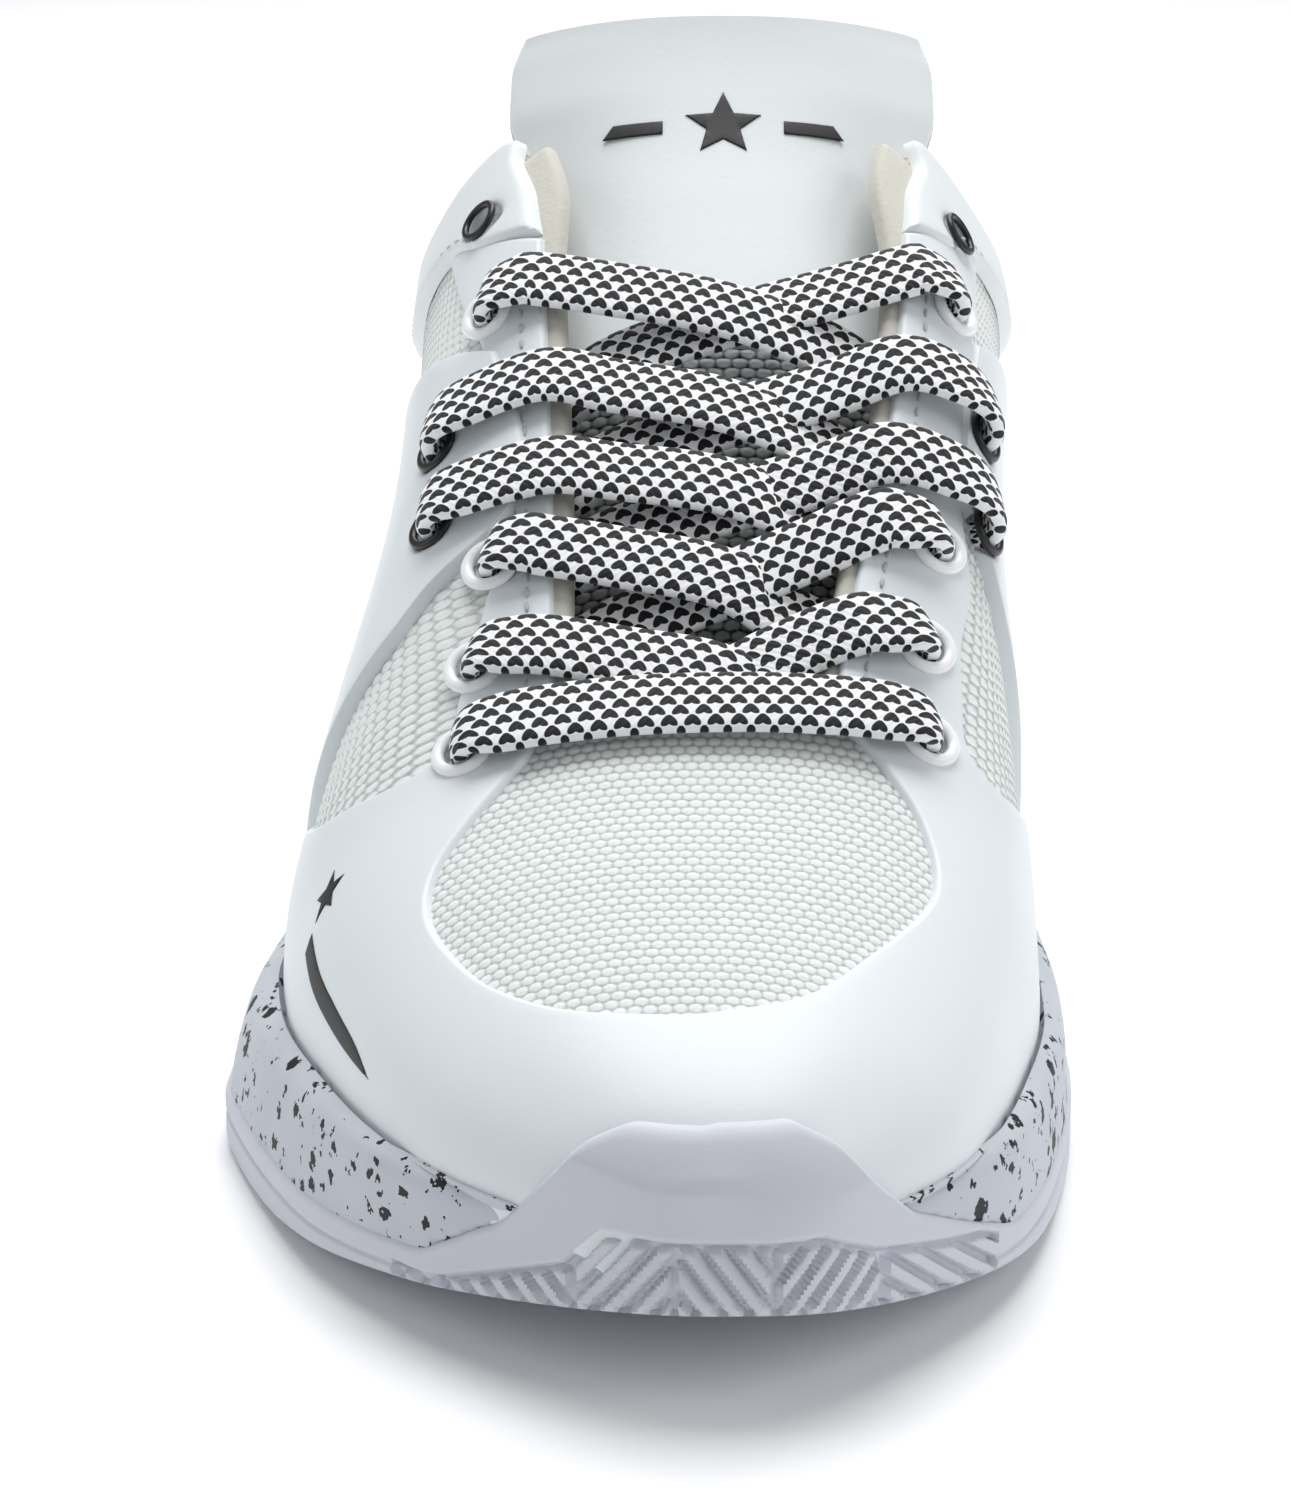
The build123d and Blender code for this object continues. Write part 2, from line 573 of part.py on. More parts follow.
lace = sweep(lace_start * Circle(LACE / 2), path=lace_path)
print("lace length", lace_path.length, "volume", lace.volume, math.pi * LACE ** 2 / 4 * lace_path.length)


def aglet(low, high):
    direction = (low - high).normalized()
    return Plane(origin=low, z_dir=direction) * extrude(Circle(AGLET / 2), amount=AGLET_LENGTH)


lace_tips = Compound(children=[aglet(lateral_low, lateral_high), aglet(medial_low, medial_high)])


def largest(shape):
    return max(shape.solids(), key=lambda solid: solid.volume)


save(largest(outsole), "outsole")
save(largest(midsole), "midsole")
save(largest(lasting_board), "lasting_board")
save(largest(mesh_upper), "mesh_upper")
save(largest(toe_overlay), "toe_overlay")
save(largest(heel_panel), "heel_panel")
save(largest(lateral_strap), "lateral_strap")
save(largest(medial_strap), "medial_strap")
save(largest(lateral_collar), "lateral_collar_panel")
save(largest(medial_collar), "medial_collar_panel")
save(largest(lateral_backing), "lateral_eyestay_backing")
save(largest(medial_backing), "medial_eyestay_backing")
save(largest(toe_puff), "toe_puff")
save(largest(heel_counter), "heel_counter")
save(largest(collar_padding), "collar_padding")
save(largest(collar_lining), "collar_lining")
save(Compound(children=white_lateral), "lateral_white_eyelets")
save(Compound(children=white_medial), "medial_white_eyelets")
save(Compound(children=black_lateral), "lateral_strap_eyelets")
save(Compound(children=black_medial), "medial_strap_eyelets")
save(top_rings[0], "top_eyelet_lateral")
save(top_rings[1], "top_eyelet_medial")
save(lace, "lace")
save(lace_tips, "lace_tips")
save(largest(tongue_face), "tongue_mesh_face")
save(largest(tongue_foam), "tongue_foam")
save(largest(tongue_lining), "tongue_lining")
save(tip_cover, "tongue_tip_cover")
save(tip_foam, "tongue_tip_foam")
save(tip_lining, "tongue_tip_lining")
save(largest(sock_foam), "sockliner_foam")
save(largest(sock_cloth), "sockliner_cloth")
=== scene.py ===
import math

import bmesh
import bpy
import numpy as np
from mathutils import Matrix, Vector
from mathutils.geometry import delaunay_2d_cdt
from mathutils.kdtree import KDTree


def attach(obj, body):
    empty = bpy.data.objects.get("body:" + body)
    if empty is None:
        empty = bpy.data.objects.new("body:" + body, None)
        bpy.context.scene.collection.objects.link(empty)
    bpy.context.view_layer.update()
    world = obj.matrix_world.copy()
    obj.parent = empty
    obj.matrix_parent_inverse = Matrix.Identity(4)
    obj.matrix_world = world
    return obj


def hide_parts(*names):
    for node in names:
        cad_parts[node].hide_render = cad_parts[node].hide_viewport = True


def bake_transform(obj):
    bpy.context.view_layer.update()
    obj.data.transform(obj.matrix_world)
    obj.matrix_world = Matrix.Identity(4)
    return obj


# A low-cut cheer shoe for the right foot, toe towards -Y. Lengths are in millimetres until a
# mesh is made. s is the distance behind the toe tip, and y = s - 136.
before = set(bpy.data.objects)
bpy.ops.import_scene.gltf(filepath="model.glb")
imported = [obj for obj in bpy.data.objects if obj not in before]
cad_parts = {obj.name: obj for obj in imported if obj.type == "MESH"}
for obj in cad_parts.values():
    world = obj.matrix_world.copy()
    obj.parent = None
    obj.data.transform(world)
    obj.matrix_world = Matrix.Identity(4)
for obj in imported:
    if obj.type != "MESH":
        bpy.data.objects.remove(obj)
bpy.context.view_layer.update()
MM = 0.001
HALF_LENGTH = 136.0

# Last: s, feather x lateral and medial, ridge height and x, roundness lateral and medial,
# swell of the padded collar lateral and medial
LAST = np.array([
    (3.0, -2.0, 14.0, 27.0, 7.0, 2.1, 2.1, 0.0, 0.0),
    (6.0, -8.5, 21.0, 30.5, 7.0, 2.2, 2.2, 0.0, 0.0),
    (11.6, -16.0, 27.5, 34.5, 6.5, 2.2, 2.2, 0.0, 0.0),
    (24.0, -27.0, 36.5, 40.0, 5.0, 2.2, 2.2, 0.0, 0.0),
    (46.0, -38.0, 44.0, 47.0, 4.0, 2.2, 2.4, 0.0, 0.0),
    (70.0, -45.5, 48.5, 55.0, 5.0, 2.2, 2.7, 0.0, 0.0),
    (85.0, -47.0, 49.0, 63.5, 6.0, 2.3, 3.1, 0.0, 0.0),
    (100.0, -45.0, 48.5, 75.0, 7.0, 2.5, 3.6, 0.0, 0.5),
    (125.0, -39.5, 46.5, 93.5, 9.0, 2.9, 4.2, 0.0, 2.5),
    (150.0, -34.0, 44.5, 112.0, 10.0, 3.4, 4.4, 2.0, 5.5),
    (175.0, -30.5, 43.5, 126.0, 9.0, 3.8, 4.6, 4.5, 8.5),
    (200.0, -28.5, 43.5, 133.0, 8.0, 4.0, 4.6, 6.0, 9.0),
    (232.0, -27.5, 42.0, 134.0, 8.0, 3.8, 4.0, 5.0, 6.5),
    (280.0, -27.5, 42.0, 134.0, 8.0, 3.8, 4.0, 5.0, 6.5),
])
# Heights along the shoe, as (s, z)
FEATHER = [(-6, 20), (25, 19.5), (70, 19), (120, 20.5), (160, 24), (200, 27), (280, 29)]
GROUND = [(-6, 14), (2, 11.4), (8, 9.6), (14, 8), (28, 5), (41, 2.6), (54, 0.7), (66, 0), (252, 0), (280, 4)]
RIM = [(-6, 18), (2, 15.5), (14, 12.5), (41, 9), (70, 7.8), (140, 7.5), (280, 8)]
TOPLINE = [(150, 119), (163, 118), (170, 111), (185, 98), (205, 87), (225, 83), (248, 88), (262, 95), (280, 98)]
SWELL_HEIGHT, SWELL_SPREAD = 84.0, 22.0
# Lace: a flat braid, and the pitch of its marks across and along it
LACE_WIDTH, LACE_PITCH, LACE_ROW = 9.4, 2.9, 1.55
HEEL_START, HEEL_DEPTH, HEEL_X = 232.0, 36.5, 8.0


def smooth_line(points):
    """Monotone cubic through (x, y) points, as a function of x."""
    xs, ys = np.array(points, float).T
    h = np.diff(xs)
    d = np.diff(ys) / h
    m = np.zeros_like(xs)
    m[0], m[-1] = d[0], d[-1]
    for i in range(1, len(xs) - 1):
        if d[i - 1] * d[i] > 0:
            a, b = 2 * h[i] + h[i - 1], h[i] + 2 * h[i - 1]
            m[i] = (a + b) / (a / d[i - 1] + b / d[i])

    def value(x):
        x = np.clip(np.asarray(x, float), xs[0], xs[-1])
        i = np.clip(np.searchsorted(xs, x, side="right") - 1, 0, len(xs) - 2)
        t = (x - xs[i]) / h[i]
        return ((2 * t**3 - 3 * t**2 + 1) * ys[i] + (t**3 - 2 * t**2 + t) * h[i] * m[i]
                + (3 * t**2 - 2 * t**3) * ys[i + 1] + (t**3 - t**2) * h[i] * m[i + 1])
    return value


last_fields = [smooth_line(LAST[:, (0, k)]) for k in range(1, 9)]
feather = smooth_line(FEATHER)
ground = smooth_line(GROUND)
rim_top = smooth_line(RIM)
topline = smooth_line(TOPLINE)


def half_width(s, z, side):
    """Distance from the ridge line to the skin at a height, on one side (-1 lateral, 1 medial)."""
    lat, med, top, ridge_x, n_lat, n_med, b_lat, b_med = [f(s) for f in last_fields]
    edge, n, swell = (lat, n_lat, b_lat) if side < 0 else (med, n_med, b_med)
    share = np.clip((z - feather(s)) / (top - feather(s)), 0, 0.9999)
    width = np.abs(edge - ridge_x) * (1 - share**n) ** (1 / n)
    return width + swell * np.exp(-(((z - SWELL_HEIGHT) / SWELL_SPREAD) ** 2)), ridge_x


def skin_height(x, s):
    """Height of the skin above a plan position, or 0 outside it."""
    lat, med, top, ridge_x, n_lat, n_med, _, _ = [f(s) for f in last_fields]
    edge, n = np.where(x < ridge_x, lat, med), np.where(x < ridge_x, n_lat, n_med)
    share = np.abs(x - ridge_x) / np.abs(edge - ridge_x)
    z = feather(s) + (top - feather(s)) * np.maximum(0, 1 - share**n) ** (1 / n)
    return np.where((share < 1) & (s >= 3), z, 0)


# Skin in strip coordinates: u along the ridge from the toe, a across from the ridge, both in mm
ROWS = np.concatenate([np.linspace(3, 30, 90), np.linspace(30.4, 190, 320)])
SIDE = 110


def build_skin():
    angle = np.linspace(0, math.pi / 2, 240)
    table = np.zeros((len(ROWS), 2 * SIDE + 1, 3))
    reach = np.zeros((len(ROWS), 2))
    for i, s in enumerate(ROWS):
        lat, med, top, ridge_x, n_lat, n_med, b_lat, b_med = [float(f(s)) for f in last_fields]
        low = float(feather(s))
        for k, (edge, n, swell, sign) in enumerate(((lat, n_lat, b_lat, -1), (med, n_med, b_med, 1))):
            z = low + (top - low) * np.cos(angle) ** (2 / n)
            x = abs(edge - ridge_x) * np.sin(angle) ** (2 / n)
            x = x + swell * np.exp(-(((z - SWELL_HEIGHT) / SWELL_SPREAD) ** 2)) * np.minimum(1, x / 12)
            run = np.concatenate([[0], np.cumsum(np.hypot(np.diff(x), np.diff(z)))])
            even = np.linspace(0, run[-1], SIDE + 1)
            px = ridge_x + sign * np.interp(even, run, x)
            pz = np.interp(even, run, z)
            reach[i, k] = run[-1]
            columns = slice(SIDE, None) if sign > 0 else slice(SIDE, None, -1)
            table[i, columns, 0] = px
            table[i, columns, 2] = pz
        table[i, :, 1] = s
    steps = np.hypot(np.diff(table[:, SIDE, 1]), np.diff(table[:, SIDE, 2]))
    along = np.concatenate([[0], np.cumsum(steps)])
    du = np.gradient(table, axis=0)
    da = np.gradient(table, axis=1)
    normal = np.cross(da, du)
    normal /= np.linalg.norm(normal, axis=2, keepdims=True)
    if normal[200, SIDE, 2] < 0:
        normal = -normal
    return table, reach, along, normal


SKIN, REACH, ALONG, SKIN_NORMAL = build_skin()


def skin_cell(u, a):
    row = np.interp(u, ALONG, np.arange(len(ROWS)))
    reach = np.where(a < 0, np.interp(u, ALONG, REACH[:, 0]), np.interp(u, ALONG, REACH[:, 1]))
    share = a / reach
    return row, SIDE + np.clip(share, -1, 1) * SIDE, np.maximum(0, np.abs(share) - 1) * reach


def gather(table, row, column):
    i = np.clip(row.astype(int), 0, table.shape[0] - 2)
    j = np.clip(column.astype(int), 0, table.shape[1] - 2)
    f, g = (row - i)[..., None], (column - j)[..., None]
    return ((1 - f) * (1 - g) * table[i, j] + f * (1 - g) * table[i + 1, j]
            + (1 - f) * g * table[i, j + 1] + f * g * table[i + 1, j + 1])


def strip(u, a, height=0.0):
    """Points at a height above the skin, from strip coordinates."""
    u, a = np.asarray(u, float), np.asarray(a, float)
    row, column, beyond = skin_cell(u, a)
    point = gather(SKIN, row, column)
    normal = gather(SKIN_NORMAL, row, column)
    point = point + normal * np.asarray(height, float)[..., None]
    point[..., 2] -= beyond
    return point


def strip_normal(u, a):
    row, column, _ = skin_cell(np.asarray(u, float), np.asarray(a, float))
    return gather(SKIN_NORMAL, row, column)


def row_at(s):
    """The skin's section at s, its place along the ridge and its reach to each side."""
    r = np.interp(s, ROWS, np.arange(len(ROWS)))
    i = min(int(r), len(ROWS) - 2)
    f = r - i
    return [(1 - f) * table[i] + f * table[i + 1] for table in (SKIN, ALONG, REACH)]


def from_plan(x, s):
    """Strip coordinates of the point seen from above at (x, s)."""
    row, u, reach = row_at(s)
    if x >= row[SIDE, 0]:
        xs = np.maximum.accumulate(row[SIDE:, 0])
        return u, float(np.interp(x, xs, np.linspace(0, reach[1], SIDE + 1)))
    xs = np.maximum.accumulate(-row[SIDE::-1, 0])
    return u, -float(np.interp(-x, xs, np.linspace(0, reach[0], SIDE + 1)))


def from_side(s, z, side):
    """Strip coordinates of the point seen from the side at (s, z)."""
    row, u, reach = row_at(s)
    half = row[SIDE:, 2] if side > 0 else row[SIDE::-1, 2]
    share = np.interp(-z, -half, np.linspace(0, 1, SIDE + 1))
    return u, side * float(share) * reach[0 if side < 0 else 1]


# Wall coordinates for the rear: q runs from the lateral side round the heel to the medial side
HEEL_RUN = 114.0
Q_END = 2 * HEEL_START + HEEL_RUN


def wall(q, z, height=0.0):
    """Points at a height outside the rear walls."""
    q, z = np.asarray(q, float), np.asarray(z, float)

    def place(q, z):
        turn = np.clip((q - HEEL_START) / HEEL_RUN, 0, 1) * math.pi
        s_lat = np.minimum(q, HEEL_START)
        s_med = np.minimum(Q_END - q, HEEL_START)
        w_lat, x_lat = half_width(s_lat, z, -1)
        w_med, x_med = half_width(s_med, z, 1)
        back = HEEL_DEPTH + 1.0 - 0.0011 * (z - 52) ** 2
        lateral = turn < math.pi / 2
        x = np.where(lateral, x_lat - w_lat * np.cos(turn), x_med - w_med * np.cos(turn))
        s = np.where(lateral, s_lat, s_med) + back * np.sin(turn)
        return np.stack([x, s, z], -1)
    p = place(q, z)
    dq = place(q + 0.4, z) - place(q - 0.4, z)
    dz = place(q, z + 0.4) - place(q, z - 0.4)
    n = np.cross(dz, dq)
    n /= np.linalg.norm(n, axis=-1, keepdims=True)
    return p + n * np.asarray(height, float)[..., None]


def wall_s(q):
    """Distance behind the toe of a wall position."""
    turn = np.clip((np.asarray(q, float) - HEEL_START) / HEEL_RUN, 0, 1) * math.pi
    return np.minimum(np.minimum(q, Q_END - q), HEEL_START) + HEEL_DEPTH * np.sin(turn)


def plan_sheet(x, s, height=0.0):
    """Points above the footbed, from plan coordinates."""
    return np.stack([x, s, feather(s) + height], -1)


# ---- meshes
def mesh_object(name, points, faces, uv=None):
    """Mesh piece from points in mm (x, s, z), with its own UV map in mm."""
    points = np.array(points, float)
    points[:, 1] -= HALF_LENGTH
    mesh = bpy.data.meshes.new(name)
    mesh.from_pydata((points * MM).tolist(), [], [list(map(int, f)) for f in faces])
    if uv is not None:
        layer = mesh.uv_layers.new(name="cloth")
        index = np.zeros(len(mesh.loops), int)
        mesh.loops.foreach_get("vertex_index", index)
        layer.data.foreach_set("uv", np.asarray(uv, float)[index].ravel())
    obj = bpy.data.objects.new(name, mesh)
    bpy.context.collection.objects.link(obj)
    mesh.validate()
    return obj


def only(obj):
    bpy.ops.object.select_all(action="DESELECT")
    obj.select_set(True)
    bpy.context.view_layer.objects.active = obj


def modifier(obj, kind, **settings):
    only(obj)
    made = obj.modifiers.new(kind.title(), kind)
    for key, value in settings.items():
        setattr(made, key, value)
    bpy.ops.object.modifier_apply(modifier=made.name)


def outward(obj, merge=0.0):
    """Merges doubles and makes all faces point outwards."""
    only(obj)
    bpy.ops.object.mode_set(mode="EDIT")
    bpy.ops.mesh.select_all(action="SELECT")
    if merge:
        bpy.ops.mesh.remove_doubles(threshold=merge * MM)
    bpy.ops.mesh.normals_make_consistent(inside=False)
    bpy.ops.object.mode_set(mode="OBJECT")


def finish_piece(obj, material, body="shoe", replaces=(), smooth=40):
    only(obj)
    if smooth:
        bpy.ops.object.shade_smooth_by_angle(angle=math.radians(smooth))
    for item in (material if isinstance(material, (list, tuple)) else [material]):
        obj.data.materials.append(item)
    if body:
        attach(obj, body)
    if replaces:
        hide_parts(*replaces)
    return obj


def curve(points, step=0.9, closed=True):
    """Even points on a smooth curve through points. A point given twice is a corner."""
    p = np.array(points, float)
    n = len(p)
    out = []
    for i in range(n if closed else n - 1):
        p0, p1, p2, p3 = (p[(i - 1) % n], p[i], p[(i + 1) % n], p[(i + 2) % n]) if closed else (
            p[max(i - 1, 0)], p[i], p[i + 1], p[min(i + 2, n - 1)])
        gap = np.linalg.norm(p2 - p1)
        if gap < 1e-6:
            continue
        count = max(1, int(round(gap / step)))
        for k in range(count):
            t = k / count
            out.append(0.5 * (2 * p1 + (p2 - p0) * t + (2 * p0 - 5 * p1 + 4 * p2 - p3) * t**2
                              + (3 * p1 - p0 - 3 * p2 + p3) * t**3))
    if not closed:
        out.append(p[-1])
    return np.array(out)


def inside(points, loops):
    """Even-odd test of points against closed loops."""
    x, y = points[:, 0], points[:, 1]
    odd = np.zeros(len(points), bool)
    for loop in loops:
        a, b = loop, np.roll(loop, -1, axis=0)
        for (x0, y0), (x1, y1) in zip(a, b):
            if y0 == y1:
                continue
            hit = ((y0 > y) != (y1 > y)) & (x < (x1 - x0) * (y - y0) / (y1 - y0) + x0)
            odd ^= hit
    return odd


def edge_distance(points, loops):
    """Distance of points to the nearest point of the loops."""
    dense = np.concatenate([np.concatenate([loop * (1 - f) + np.roll(loop, -1, axis=0) * f
                                            for f in (0, 0.25, 0.5, 0.75)]) for loop in loops])
    tree = KDTree(len(dense))
    for i, (x, y) in enumerate(dense):
        tree.insert((x, y, 0), i)
    tree.balance()
    return np.array([tree.find((x, y, 0))[2] for x, y in points])


def inset(loop, amount, loops):
    """Loop moved towards the inside of the panel."""
    step = np.roll(loop, -1, axis=0) - np.roll(loop, 1, axis=0)
    across = np.stack([-step[:, 1], step[:, 0]], -1)
    across /= np.maximum(1e-9, np.linalg.norm(across, axis=1, keepdims=True))
    moved = loop + across * amount
    if inside(moved, loops).mean() < 0.5:
        moved = loop - across * amount
    return moved


def panel(name, place, loops, spacing=1.6, height=0.0, edge=0.7, drop=1.0, thickness=0.7, swell=None):
    """Sheet cut to closed loops, laid on a surface, with a rounded edge and its own thickness."""
    rings = [np.array(loop) for loop in loops]
    extra = []
    for share in (0.3, 0.7, 1.15):
        for loop in rings:
            moved = inset(loop, edge * share, rings)
            away = edge_distance(moved, rings)
            extra.append(moved[inside(moved, rings) & (away > edge * share * 0.8)])
    everything = np.concatenate(rings)
    low, high = everything.min(0), everything.max(0)
    xs = np.arange(low[0], high[0], spacing)
    ys = np.arange(low[1], high[1], spacing * 0.866)
    gx, gy = np.meshgrid(xs, ys, indexing="ij")
    gx = gx + (np.arange(len(ys)) % 2)[None, :] * spacing / 2
    grid = np.stack([gx.ravel(), gy.ravel()], -1)
    grid = grid[inside(grid, rings)]
    grid = grid[edge_distance(grid, rings) > edge * 1.15 + spacing * 0.4]
    points = np.concatenate(rings + extra + [grid])
    edges = []
    start = 0
    for loop in rings:
        edges += [(start + i, start + (i + 1) % len(loop)) for i in range(len(loop))]
        start += len(loop)
    verts, _, faces, _, _, _ = delaunay_2d_cdt([Vector(p) for p in points], edges, [], 0, 1e-5)
    flat = np.array([(v.x, v.y) for v in verts])
    tri = np.array([f for f in faces if len(f) == 3])
    tri = tri[inside(flat[tri].mean(1), rings)]
    away = np.clip(edge_distance(flat, rings) / edge, 0, 1)
    level = height - drop + drop * np.sqrt(np.maximum(0, 1 - (1 - away) ** 2))
    if swell is not None:
        level = level + swell(flat[:, 0], flat[:, 1])
    obj = mesh_object(name, place(flat[:, 0], flat[:, 1], level), tri, flat)
    outward(obj)
    reference = place(flat[:1, 0], flat[:1, 1], level[:1] + 1) - place(flat[:1, 0], flat[:1, 1], level[:1])
    face = next(f for f in obj.data.polygons if 0 in f.vertices)
    if Vector(reference[0]).dot(face.normal) < 0:
        obj.data.flip_normals()
    modifier(obj, "SOLIDIFY", thickness=thickness * MM, offset=-1)
    return obj


def grid_sheet(name, points, closed_rows=False, uv=None, caps=False):
    """Sheet of four-sided faces from an array of points (rows, columns, 3)."""
    rows, columns = points.shape[:2]
    index = np.arange(rows * columns).reshape(rows, columns)
    last = columns if closed_rows else columns - 1
    faces = []
    for j in range(last):
        k = (j + 1) % columns
        for i in range(rows - 1):
            faces.append((index[i, j], index[i + 1, j], index[i + 1, k], index[i, k]))
    if caps:
        faces.append(list(index[0]))
        faces.append(list(index[-1][::-1]))
    return mesh_object(name, points.reshape(-1, 3), faces, None if uv is None else uv.reshape(-1, 2))


# ---- materials
def linear(hex_colour):
    """Linear RGBA from an sRGB hex value."""
    parts = [int(hex_colour[i:i + 2], 16) / 255 for i in (1, 3, 5)]
    return tuple(c / 12.92 if c <= 0.04045 else ((c + 0.055) / 1.055) ** 2.4 for c in parts) + (1.0,)


def material(name, colour, roughness, **sockets):
    mat = bpy.data.materials.new(name)
    mat.use_nodes = True
    shader = mat.node_tree.nodes["Principled BSDF"]
    shader.inputs["Base Color"].default_value = linear(colour)
    shader.inputs["Roughness"].default_value = roughness
    for socket, value in sockets.items():
        shader.inputs[socket.replace("_", " ")].default_value = value
    return mat


def add(mat, kind, settings=None, **links):
    """Adds a node. Links are input names (or _index) to a value or to (node, output)."""
    tree = mat.node_tree
    node = tree.nodes.new("ShaderNode" + kind)
    for key, value in (settings or {}).items():
        setattr(node, key, value)
    for key, value in links.items():
        socket = node.inputs[int(key[1:])] if key[1:].isdigit() else node.inputs[key.replace("_", " ")]
        if isinstance(value, tuple) and len(value) == 2 and hasattr(value[0], "outputs"):
            tree.links.new(value[0].outputs[value[1]], socket)
        else:
            socket.default_value = value
    return node


def maths(mat, operation, *values):
    return add(mat, "Math", {"operation": operation}, **{f"_{i}": value for i, value in enumerate(values)})


def shade(mat, socket, node, output):
    mat.node_tree.links.new(node.outputs[output], mat.node_tree.nodes["Principled BSDF"].inputs[socket])


def object_point(mat):
    return add(mat, "TexCoord"), "Object"


def grain(mat, period_mm, depth_mm, detail=3.0, strength=0.6):
    """Fine moulded or printed grain as bump."""
    noise = add(mat, "TexNoise", Vector=object_point(mat), Scale=1000.0 / period_mm, Detail=detail)
    bump = add(mat, "Bump", Height=(noise, 0), Strength=strength, Distance=depth_mm * MM)
    shade(mat, "Normal", bump, 0)
    return bump


# Polyurethane film, hot pressed over mesh: cool white, satin, with a leather-fine grain
film = material("polyurethane_film_pressed", "#DFE5E8", 0.42, Specular_IOR_Level=0.42)
grain(film, 0.7, 0.03)
# Softer polyurethane of the collar and tongue tip: a little greyer and more matt
soft_film = material("polyurethane_soft_embossed", "#E0E5E6", 0.5, Specular_IOR_Level=0.38)
grain(soft_film, 0.9, 0.05)
# Moulded rubber: pale lilac grey, matt, with spark-eroded mould grain
rubber = material("rubber_moulded", "#CCCED6", 0.62, Specular_IOR_Level=0.35)
grain(rubber, 0.8, 0.06)


def speckled_foam():
    """EVA foam with ground black rubber in it: pale grey with black specks of many sizes."""
    mat = material("eva_foam_speckled", "#DDE0E7", 0.58, Specular_IOR_Level=0.35)
    wobble = add(mat, "TexNoise", Vector=object_point(mat), Scale=900.0, Detail=2.0)
    bend = add(mat, "MixRGB", {"blend_type": "LINEAR_LIGHT"}, Fac=0.0012, Color1=object_point(mat),
               Color2=(wobble, 1))
    dark = None
    for period, limit, share in ((1.5, 0.22, 0.34), (2.4, 0.22, 0.46), (4.0, 0.2, 0.52), (7.0, 0.13, 0.5)):
        cells = add(mat, "TexVoronoi", {"feature": "F1"}, Vector=(bend, 0), Scale=1000.0 / period)
        chance = add(mat, "SeparateColor", Color=(cells, 1))
        keep = maths(mat, "LESS_THAN", (chance, 0), share)
        size = maths(mat, "MULTIPLY", (chance, 1), limit * 1.9)
        near = maths(mat, "LESS_THAN", (cells, 0), (size, 0))
        spot = maths(mat, "MULTIPLY", (near, 0), (keep, 0))
        dark = spot if dark is None else maths(mat, "MAXIMUM", (dark, 0), (spot, 0))
    cloud = add(mat, "TexNoise", Vector=object_point(mat), Scale=55.0, Detail=3.0)
    tone = add(mat, "MixRGB", Fac=(cloud, 0), Color1=linear("#B4B9C2"), Color2=linear("#CDD1D8"))
    colour = add(mat, "MixRGB", Fac=(dark, 0), Color1=(tone, 0), Color2=linear("#15151A"))
    shade(mat, "Base Color", colour, 0)
    pits = add(mat, "TexVoronoi", {"feature": "SMOOTH_F1"}, Vector=object_point(mat), Scale=700.0)
    bump = add(mat, "Bump", Height=(pits, 0), Strength=0.35, Distance=0.08 * MM)
    shade(mat, "Normal", bump, 0)
    return mat


def cell_pattern(mat, across, along, stagger=0.5):
    """Staggered cells on the cloth's own UV map in mm: fractions of a cell from its middle."""
    uv = add(mat, "UVMap", {"uv_map": "cloth"})
    parts = add(mat, "SeparateXYZ", Vector=(uv, 0))
    rows = maths(mat, "DIVIDE", (parts, 0), along)
    row = maths(mat, "FLOOR", (rows, 0))
    row_part = maths(mat, "FRACT", (rows, 0))
    odd = maths(mat, "MODULO", (row, 0), 2.0)
    odd = maths(mat, "ABSOLUTE", (odd, 0))
    shift = maths(mat, "MULTIPLY", (odd, 0), stagger)
    columns = maths(mat, "DIVIDE", (parts, 1), across)
    moved = maths(mat, "ADD", (columns, 0), (shift, 0))
    column_part = maths(mat, "FRACT", (moved, 0))
    fx = maths(mat, "SUBTRACT", (column_part, 0), 0.5)
    fy = maths(mat, "SUBTRACT", (row_part, 0), 0.5)
    return fx, fy


def knitted_cloth(name, light, shadow, across, along, hole):
    """Warp-knitted polyester: pale raised cells, with painted shade in the stitch holes between them."""
    mat = material(name, light, 0.78, Specular_IOR_Level=0.3, Sheen_Weight=0.15)
    fx, fy = cell_pattern(mat, across, along)
    xx = maths(mat, "MULTIPLY", (fx, 0), (fx, 0))
    yy = maths(mat, "MULTIPLY", (fy, 0), (fy, 0))
    round_ = maths(mat, "ADD", (xx, 0), (yy, 0))
    radius = maths(mat, "SQRT", (round_, 0))
    rim = add(mat, "MapRange", {"interpolation_type": "SMOOTHSTEP"}, Value=(radius, 0), From_Min=0.3,
              From_Max=0.62)
    # The stitch holes get the second colour as painted shade, as strong as hole says
    share = maths(mat, "MULTIPLY", (rim, 0), hole)
    noise = add(mat, "TexNoise", Vector=object_point(mat), Scale=2200.0, Detail=2.0)
    fleck = add(mat, "MapRange", Value=(noise, 0), From_Min=0.35, From_Max=0.7, To_Min=-0.08, To_Max=0.12)
    mix = maths(mat, "ADD", (share, 0), (fleck, 0))
    colour = add(mat, "MixRGB", Fac=(mix, 0), Color1=linear(light), Color2=linear(shadow))
    shade(mat, "Base Color", colour, 0)
    return mat


